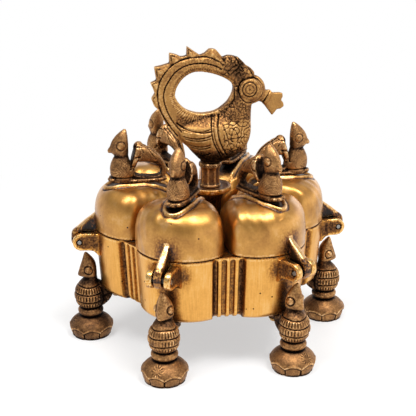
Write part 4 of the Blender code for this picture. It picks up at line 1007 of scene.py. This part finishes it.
tail_edge = np.array([
    (-4.6, 76.5), (-9.3, 80.1), (-14.2, 84.2), (-17.1, 88.1), (-19.4, 92.0), (-21.1, 95.8),
    (-22.7, 97.3), (-23.7, 100.1), (-22.3, 102.2), (-22.9, 104.0), (-24.0, 106.4), (-21.6, 107.5),
    (-22.4, 112.7), (-19.6, 113.2), (-16.4, 114.1), (-16.4, 118.1), (-13.6, 117.4), (-11.9, 116.5),
    (-9.6, 116.8), (-9.4, 120.5), (-7.2, 118.9), (-4.3, 116.9), (-2.4, 117.6), (-0.6, 119.2),
    (0.4, 119.3), (2.0, 119.0), (3.4, 117.4), (4.7, 115.8), (6.6, 116.5), (8.6, 116.4), (11.1, 115.6),
    (12.8, 114.0), (14.2, 112.4), (16.2, 111.2), (17.4, 109.8), (17.6, 108.2), (17.9, 104.0),
    (16.8, 99.0), (16.0, 93.0), (15.0, 84.0), (9.0, 77.0), (3.0, 76.0),
])
ring_hole = spline([
    (-14.5, 101.6), (-13.7, 104.6), (-11.4, 107.9), (-8.1, 110.1), (-4.5, 110.6), (0.1, 109.8),
    (4.3, 108.3), (7.6, 106.3), (9.1, 104.2), (8.8, 101.4), (7.2, 98.4), (4.8, 96.1), (1.6, 94.2),
    (-2.7, 93.5), (-6.4, 93.9), (-10.1, 95.4), (-12.8, 98.0), (-14.3, 100.6),
], 4)
leaf_edge = np.array([
    (19.8, 99.7), (22.0, 96.0), (25.3, 91.6), (27.4, 94.2), (28.6, 94.1), (30.1, 95.2), (29.9, 96.6),
    (28.9, 97.8), (29.6, 99.2), (29.4, 100.5), (28.2, 100.8), (25.1, 100.8), (24.5, 102.0),
    (22.9, 102.0), (20.4, 101.6),
])


def slab(outlines, half):
    """A closed flat piece between y = -half and y = half, as shells that meet: two cut faces, and walls
    along each outline."""
    flat, triangles = flat_cut(outlines)
    shells = [(ring_points(flat[:, 0], side * half, flat[:, 1]), [triangles]) for side in (-1, 1)]
    for outline in outlines:
        ring = ring_points(outline[:, 0], np.array([[-half], [half]]), outline[:, 1])
        shells.append((ring.reshape(-1, 3), [grid_faces(2, len(outline))]))
    return shells


body_rows = [
    (73.0, -3.4, 4.3, 3.4, 0), (73.8, -4.2, 5.9, 4.2, 0), (75.1, -5.2, 9.2, 5.2, 0),
    (77.4, -7.4, 13.0, 6.5, 0), (80.6, -10.1, 15.4, 7.3, 0), (84.1, -13.2, 16.5, 7.6, 0),
    (87.2, -13.9, 16.7, 7.2, 0), (89.2, -12.0, 16.6, 6.4, 0), (90.8, -8.6, 16.5, 5.2, 0),
    (92.2, -3.0, 16.2, 4.2, 0), (93.2, 3.0, 15.0, 3.0, 0),
]
neck_rows = [
    (86.0, 1.0, 16.4, 4.6, 0), (89.5, 1.4, 16.6, 5.0, 0), (93.1, 3.6, 16.6, 4.9, 0),
    (96.9, 7.4, 16.9, 4.6, 0), (100.7, 9.4, 18.2, 4.4, 0), (104.5, 10.6, 18.6, 4.0, 0),
    (107.5, 11.5, 17.5, 3.0, 0),
]
peacock_shells = slab([tail_edge, ring_hole], PLATE_HALF) + slab([leaf_edge], LEAF_THIN)
peacock_shells += [stack(body_rows, 96), stack(neck_rows, 72), ball((EYE_X, 0, EYE_Z), (6.1, 4.7, 6.0))]
beak = [(18.4, 101.4, 3.0, 2.6), (20.6, 100.2, 2.7, 2.4), (22.0, 99.5, 2.6, 2.1), (22.8, 99.1, 2.4, 1.8)]
beak_tip = [(22.6, 99.2, 3.0, 2.2), (23.4, 98.8, 3.0, 2.0), (24.0, 98.5, 2.8, 1.7)]
peacock_shells += [bar(beak, 3.0), bar(beak_tip, 3.0)]
peacock_shells += ball_pair((EYE_X - 1.2, 3.9, EYE_Z + 0.8), (4.4, 1.1, 4.4))
peacock_mesh = cast_skin("peacock", peacock_shells, PEACOCK_VOXEL)

points = points_of(peacock_mesh)
x, y, z = points.T
flat = points[:, ::2]
to_edge = distance_to(flat, np.vstack([tail_edge, tail_edge[:1]]))
to_hole = distance_to(flat, np.vstack([ring_hole, ring_hole[:1]]))
# The tail's plate grows thinner towards its edges.
on_plate = (abs(y) < PLATE_HALF + 0.2) & ((x < 9.5) | (z > 104)) & (z > 89)
thin = 0.66 + 0.34 * smooth_step(np.minimum(to_edge, to_hole), 0.0, 2.2)
points[:, 1] = np.where(on_plate, y * thin, y)
set_points(peacock_mesh, points)
side_on = smooth_step(abs(normals_of(peacock_mesh)[:, 1]), 0.25, 0.6)
# Engraved lines as (line, half width, depth): two round the tail, the wing's top and its feathers, three
# down the collar, and one inside each tooth of the tail.
outer_line = spline([
    (-13.8, 85.2), (-17.5, 90.2), (-20.3, 95.4), (-21.5, 101.0), (-20.9, 106.0), (-19.2, 109.6),
    (-15.6, 113.6), (-10.9, 115.8), (-6.4, 116.4), (-1.6, 116.4), (2.8, 114.6), (4.6, 113.1),
], 5)
middle_line = spline([
    (-12.4, 87.0), (-15.6, 91.2), (-18.0, 96.0), (-19.1, 100.6), (-18.6, 104.2), (-16.9, 107.5),
    (-14.1, 111.0), (-9.9, 113.3), (-5.4, 114.0), (-1.5, 113.7), (2.4, 112.4), (3.9, 111.4),
], 5)
wing_top = spline([(-14.0, 90.4), (-11.6, 88.6), (-8.4, 87.6), (-4.5, 87.0), (-0.6, 87.4)], 5)
lines = [(outer_line, 0.28, 0.42), (middle_line, 0.28, 0.42), (wing_top, 0.38, 0.50)]
share = np.linspace(0, 1, 14)
for drop, start in ((0.9, 0.0), (3.6, 0.8), (4.5, 1.4), (7.2, 3.0), (8.1, 3.8), (10.9, 6.4)):
    feather_x = -1.2 * share + (start - 12.2) * (1 - share)
    feather_z = 88.6 - drop + 0.6 * share - 0.8 * (1 - (2 * share - 1) ** 2)
    lines.append((np.stack([feather_x, feather_z], -1), 0.26, 0.36))
collar = spline([(0.3, 93.2), (-0.5, 90.3), (-0.7, 87.0), (0.0, 83.4), (1.5, 80.0), (3.0, 77.4)], 4)
for shift, half, deep in ((0.0, 0.30, 0.42), (0.95, 0.24, 0.26), (2.6, 0.30, 0.42)):
    lines.append((collar + (shift, 0.0), half, deep))
for i in (6, 9, 11, 14, 18):
    tooth = tail_edge[i:i + 3]
    middle = tooth.mean(0)
    lines.append((middle + (tooth - middle) * 0.50, 0.22, 0.22))
cut = 0.0
for line, half, deep in lines:
    cut = np.maximum(cut, deep * bell(distance_to(flat, line), 0, half))
# The ring's inner band is hatched, and its edge stands up a little.
inner_band = on_plate & (to_hole < distance_to(flat, middle_line)) & (z > 91) & (x < 6)
hole_turn = np.arctan2(z - 102.0, (x + 3.0) * 0.8)
hatch = np.sin(90 * hole_turn + 2.0 * np.sin(7 * hole_turn)) * smooth_step(to_hole, 0.3, 1.2)
depth = 0.08 * inner_band * hatch + 0.10 * (on_plate & (to_hole < 0.9)) - cut


def scrolls(x, z, size):
    """Carved scroll work: the sum of waves in seven directions, cut along the lines where it is zero."""
    total = 0.0
    for k in range(7):
        way = k * math.pi / 7 + 0.3
        total = total + np.cos(2 * math.pi / size * (x * math.cos(way) + z * math.sin(way)) + 1.7 * k * k)
    return total


breast = smooth_step(x, 3.6, 4.4) * smooth_step(z, 91.5, 90.0) * smooth_step(z, 77.5, 79.5)
throat = smooth_step(z, 90.0, 91.6) * smooth_step(z, 100.5, 97.5) * (x > 3)
saddle = smooth_step(z, 88.4, 90.0) * smooth_step(z, 93.6, 92.6) * (x > -14) * (x < 4)
throat = np.maximum(throat, saddle * 0.75)
head_gap = np.hypot(x - EYE_X, z - EYE_Z)
throat *= smooth_step(head_gap, 5.4, 6.2)
crest = smooth_step(z, 107.6, 109.4) * smooth_step(x, 3.6, 5.6) * (head_gap > 5.6)
nape = smooth_step(x, 8.4, 9.6) * smooth_step(x, 14.0, 12.4) * (z > 99) * smooth_step(head_gap, 5.2, 6.0)
big, small, bumps = scrolls(x, z, 2.5), scrolls(x + 40, z, 1.9), scrolls(x, z + 90, 3.0)
carved = breast * bell(big, 0, 0.7) * 0.34 + throat * bell(small, 0, 0.8) * 0.15
carved += crest * bell(bumps, 0, 0.9) * 0.17
scallop = abs(np.sin((x + 0.6 * z) * 1.15))
depth -= carved + crest * (to_edge < 2.4) * 0.35 * bell(scallop, 0, 0.25)
# Rings round the eye, a groove where the leaf leaves the beak, and one round the foot.
eye_gap = np.hypot(x - EYE_X + 1.2, z - EYE_Z - 0.8)
brow_gap = np.hypot(x - EYE_X + 0.3, z - EYE_Z - 0.2)
rings = 0.34 * bell(brow_gap, 5.1, 0.30) + 0.34 * bell(eye_gap, 2.9, 0.28)
rings += 0.16 * bell(eye_gap, 1.7, 0.26) + 0.16 * bell(eye_gap, 0, 0.45)
on_head = (abs(y) > 1.6) & (x < 21.5)
beak_along = (x - 20.0) * 0.83 - (z - 100.4) * 0.56
on_beak = (x > 19) & (z < 103.5) & (z > 94)
depth -= on_head * rings + on_beak * 0.42 * bell(beak_along, 2.6, 0.28) + 0.35 * bell(z, FOOT_RING_Z, 0.32)
displace(peacock_mesh, depth * np.where(on_head | (abs(z - FOOT_RING_Z) < 1.2), 1.0, side_on))
# The nape, crest, head, belly and throat and the top of the ring are darker. The leaf is plain.
dark = 0.30 * nape + 0.16 * crest + 0.10 * smooth_step(z, 103.0, 110.0) * (x < 9.0)
dark += 0.10 * smooth_step(head_gap, 6.4, 5.8) + 0.62 * smooth_step(z, 81.0, 76.0) * (x <= 19)
dark += 0.20 * throat + (0.26 * cut + 0.40 * carved) * side_on
on_leaf = (beak_along > 3.0) & (x > 21.5) & (z < 103.5)
dark = np.where(on_leaf, -0.8, dark)
age_casting(peacock_mesh, hollow=3.25, broad=0.72, crest=2.0, extra=dark, rub=-0.8 * on_leaf)
# Dull gold where fingers lift the box by it, brown in the carving and towards the belly.
CHASED_TONES = ("#ECC48C", "#C89858", "#9B6E42", "#694A31", "#3A2818", "#180E07")
chased_brass = aged_metal(
    "chased_peacock_brass", CHASED_TONES, 0.28, blotch=(3.2, 0.22), grain=(0.42, 0.16), streak=(1.4, 0.04),
    gloss=(0.48, 0.70), relief=0.05,
)
place_piece("peacock_casting", peacock_mesh, chased_brass, "box_body", "peacock")

# The studio: a pale table that fades to white, a room that is bright at the horizon, brighter on the right,
# and dimmer overhead and behind the camera, and two soft lamps whose reflections light each lid's shoulder.

FLOOR_HALF = 1.6
floor_mesh = bpy.data.meshes.new("floor")
corners = [(x * FLOOR_HALF, y * FLOOR_HALF, 0) for x, y in ((-1, -1), (1, -1), (1, 1), (-1, 1))]
floor_mesh.from_pydata(corners, [], [(0, 1, 2, 3)])
floor = add_object("floor", floor_mesh)
table = bpy.data.materials.new("pale_table")
table.use_nodes = True
tree = table.node_tree
shader = tree.nodes["Principled BSDF"]
shader.inputs["Base Color"].default_value = linear("#FCFCFC")
shader.inputs["Roughness"].default_value = 0.9
place = add_node(tree, "ShaderNodeTexCoord").outputs["Object"]
reach = add_node(tree, "ShaderNodeVectorMath", {0: place}, operation="LENGTH").outputs["Value"]
fade = mapped(tree, reach, 0.06, 0.24, 0.5, 1.0, interpolation_type="SMOOTHSTEP")
white = add_node(tree, "ShaderNodeEmission", {"Strength": 1.0}).outputs[0]
mixed = add_node(tree, "ShaderNodeMixShader", {0: fade, 1: shader.outputs[0], 2: white})
tree.links.new(mixed.outputs[0], tree.nodes["Material Output"].inputs["Surface"])
floor_mesh.materials.append(table)

CAMERA_AT = Vector((-0.0667, -0.3709, 0.1882))
CAMERA_SEES = Vector((0.0, 0.0, 0.054))
CAMERA_ROLL = math.radians(0.2)
VIEW_TURN = math.radians(-10.2)

world = bpy.data.worlds.new("room")
world.use_nodes = True
bpy.context.scene.world = world
tree = world.node_tree
way = add_node(tree, "ShaderNodeTexCoord").outputs["Generated"]
parts = add_node(tree, "ShaderNodeSeparateXYZ", {0: way}).outputs
bright = mapped(tree, parts["Z"], 0.06, 0.55, 1.0, 0.42, interpolation_type="SMOOTHSTEP")
across = mapped(tree, parts["X"], -0.9, 0.7, 0.74, 1.48)
aim = {0: way, 1: tuple((CAMERA_AT - CAMERA_SEES).normalized())}
near = add_node(tree, "ShaderNodeVectorMath", aim, operation="DOT_PRODUCT").outputs["Value"]
dim = mapped(tree, near, 0.84, 0.97, 1.0, 0.40, interpolation_type="SMOOTHSTEP")
backdrop = mapped(tree, near, -0.9, 0.1, 1.3, 1.0)
level = bright
for share in (across, dim, backdrop):
    level = worked(tree, "MULTIPLY", level, share)
seen = add_node(tree, "ShaderNodeLightPath").outputs["Is Camera Ray"]
level = add_node(tree, "ShaderNodeMix", {0: seen, 2: level, 3: 1.0}).outputs[0]
tree.links.new(level, tree.nodes["Background"].inputs["Strength"])
tree.nodes["Background"].inputs["Color"].default_value = (1.0, 1.0, 1.0, 1.0)

LAMP_DISTANCE = 0.8
LAMP_SIZE = 0.28


def soft_lamp(name, sideways, height, watts):
    """A square soft box beside the camera, turned to the box: sideways is its angle from the view, height
    its angle above the table, both in degrees."""
    turn = VIEW_TURN - math.pi / 2 + math.radians(sideways)
    rise = math.radians(height)
    way = Vector((math.cos(turn) * math.cos(rise), math.sin(turn) * math.cos(rise), math.sin(rise)))
    lamp = bpy.data.lights.new(name, "AREA")
    lamp.shape = "SQUARE"
    lamp.size = LAMP_SIZE
    lamp.energy = watts
    made = add_object(name, lamp)
    made.location = CAMERA_SEES + way * LAMP_DISTANCE
    made.rotation_euler = (-way).to_track_quat("-Z", "Y").to_euler()


soft_lamp("soft_box_left", -52.0, 66.0, 3.2)
soft_lamp("soft_box_right", 42.0, 64.0, 3.9)

lens = bpy.data.cameras.new("photo_camera")
lens.lens = 83.41
lens.sensor_width = 36.0
lens.shift_x = -0.0048
lens.shift_y = -0.00625
camera = add_object("photo_camera", lens)
camera.location = CAMERA_AT
look = (CAMERA_SEES - CAMERA_AT).to_track_quat("-Z", "Y").to_matrix()
camera.rotation_euler = (look @ Matrix.Rotation(CAMERA_ROLL, 3, "Z")).to_euler()
bpy.context.scene.camera = camera
bpy.context.scene.view_settings.view_transform = "Standard"
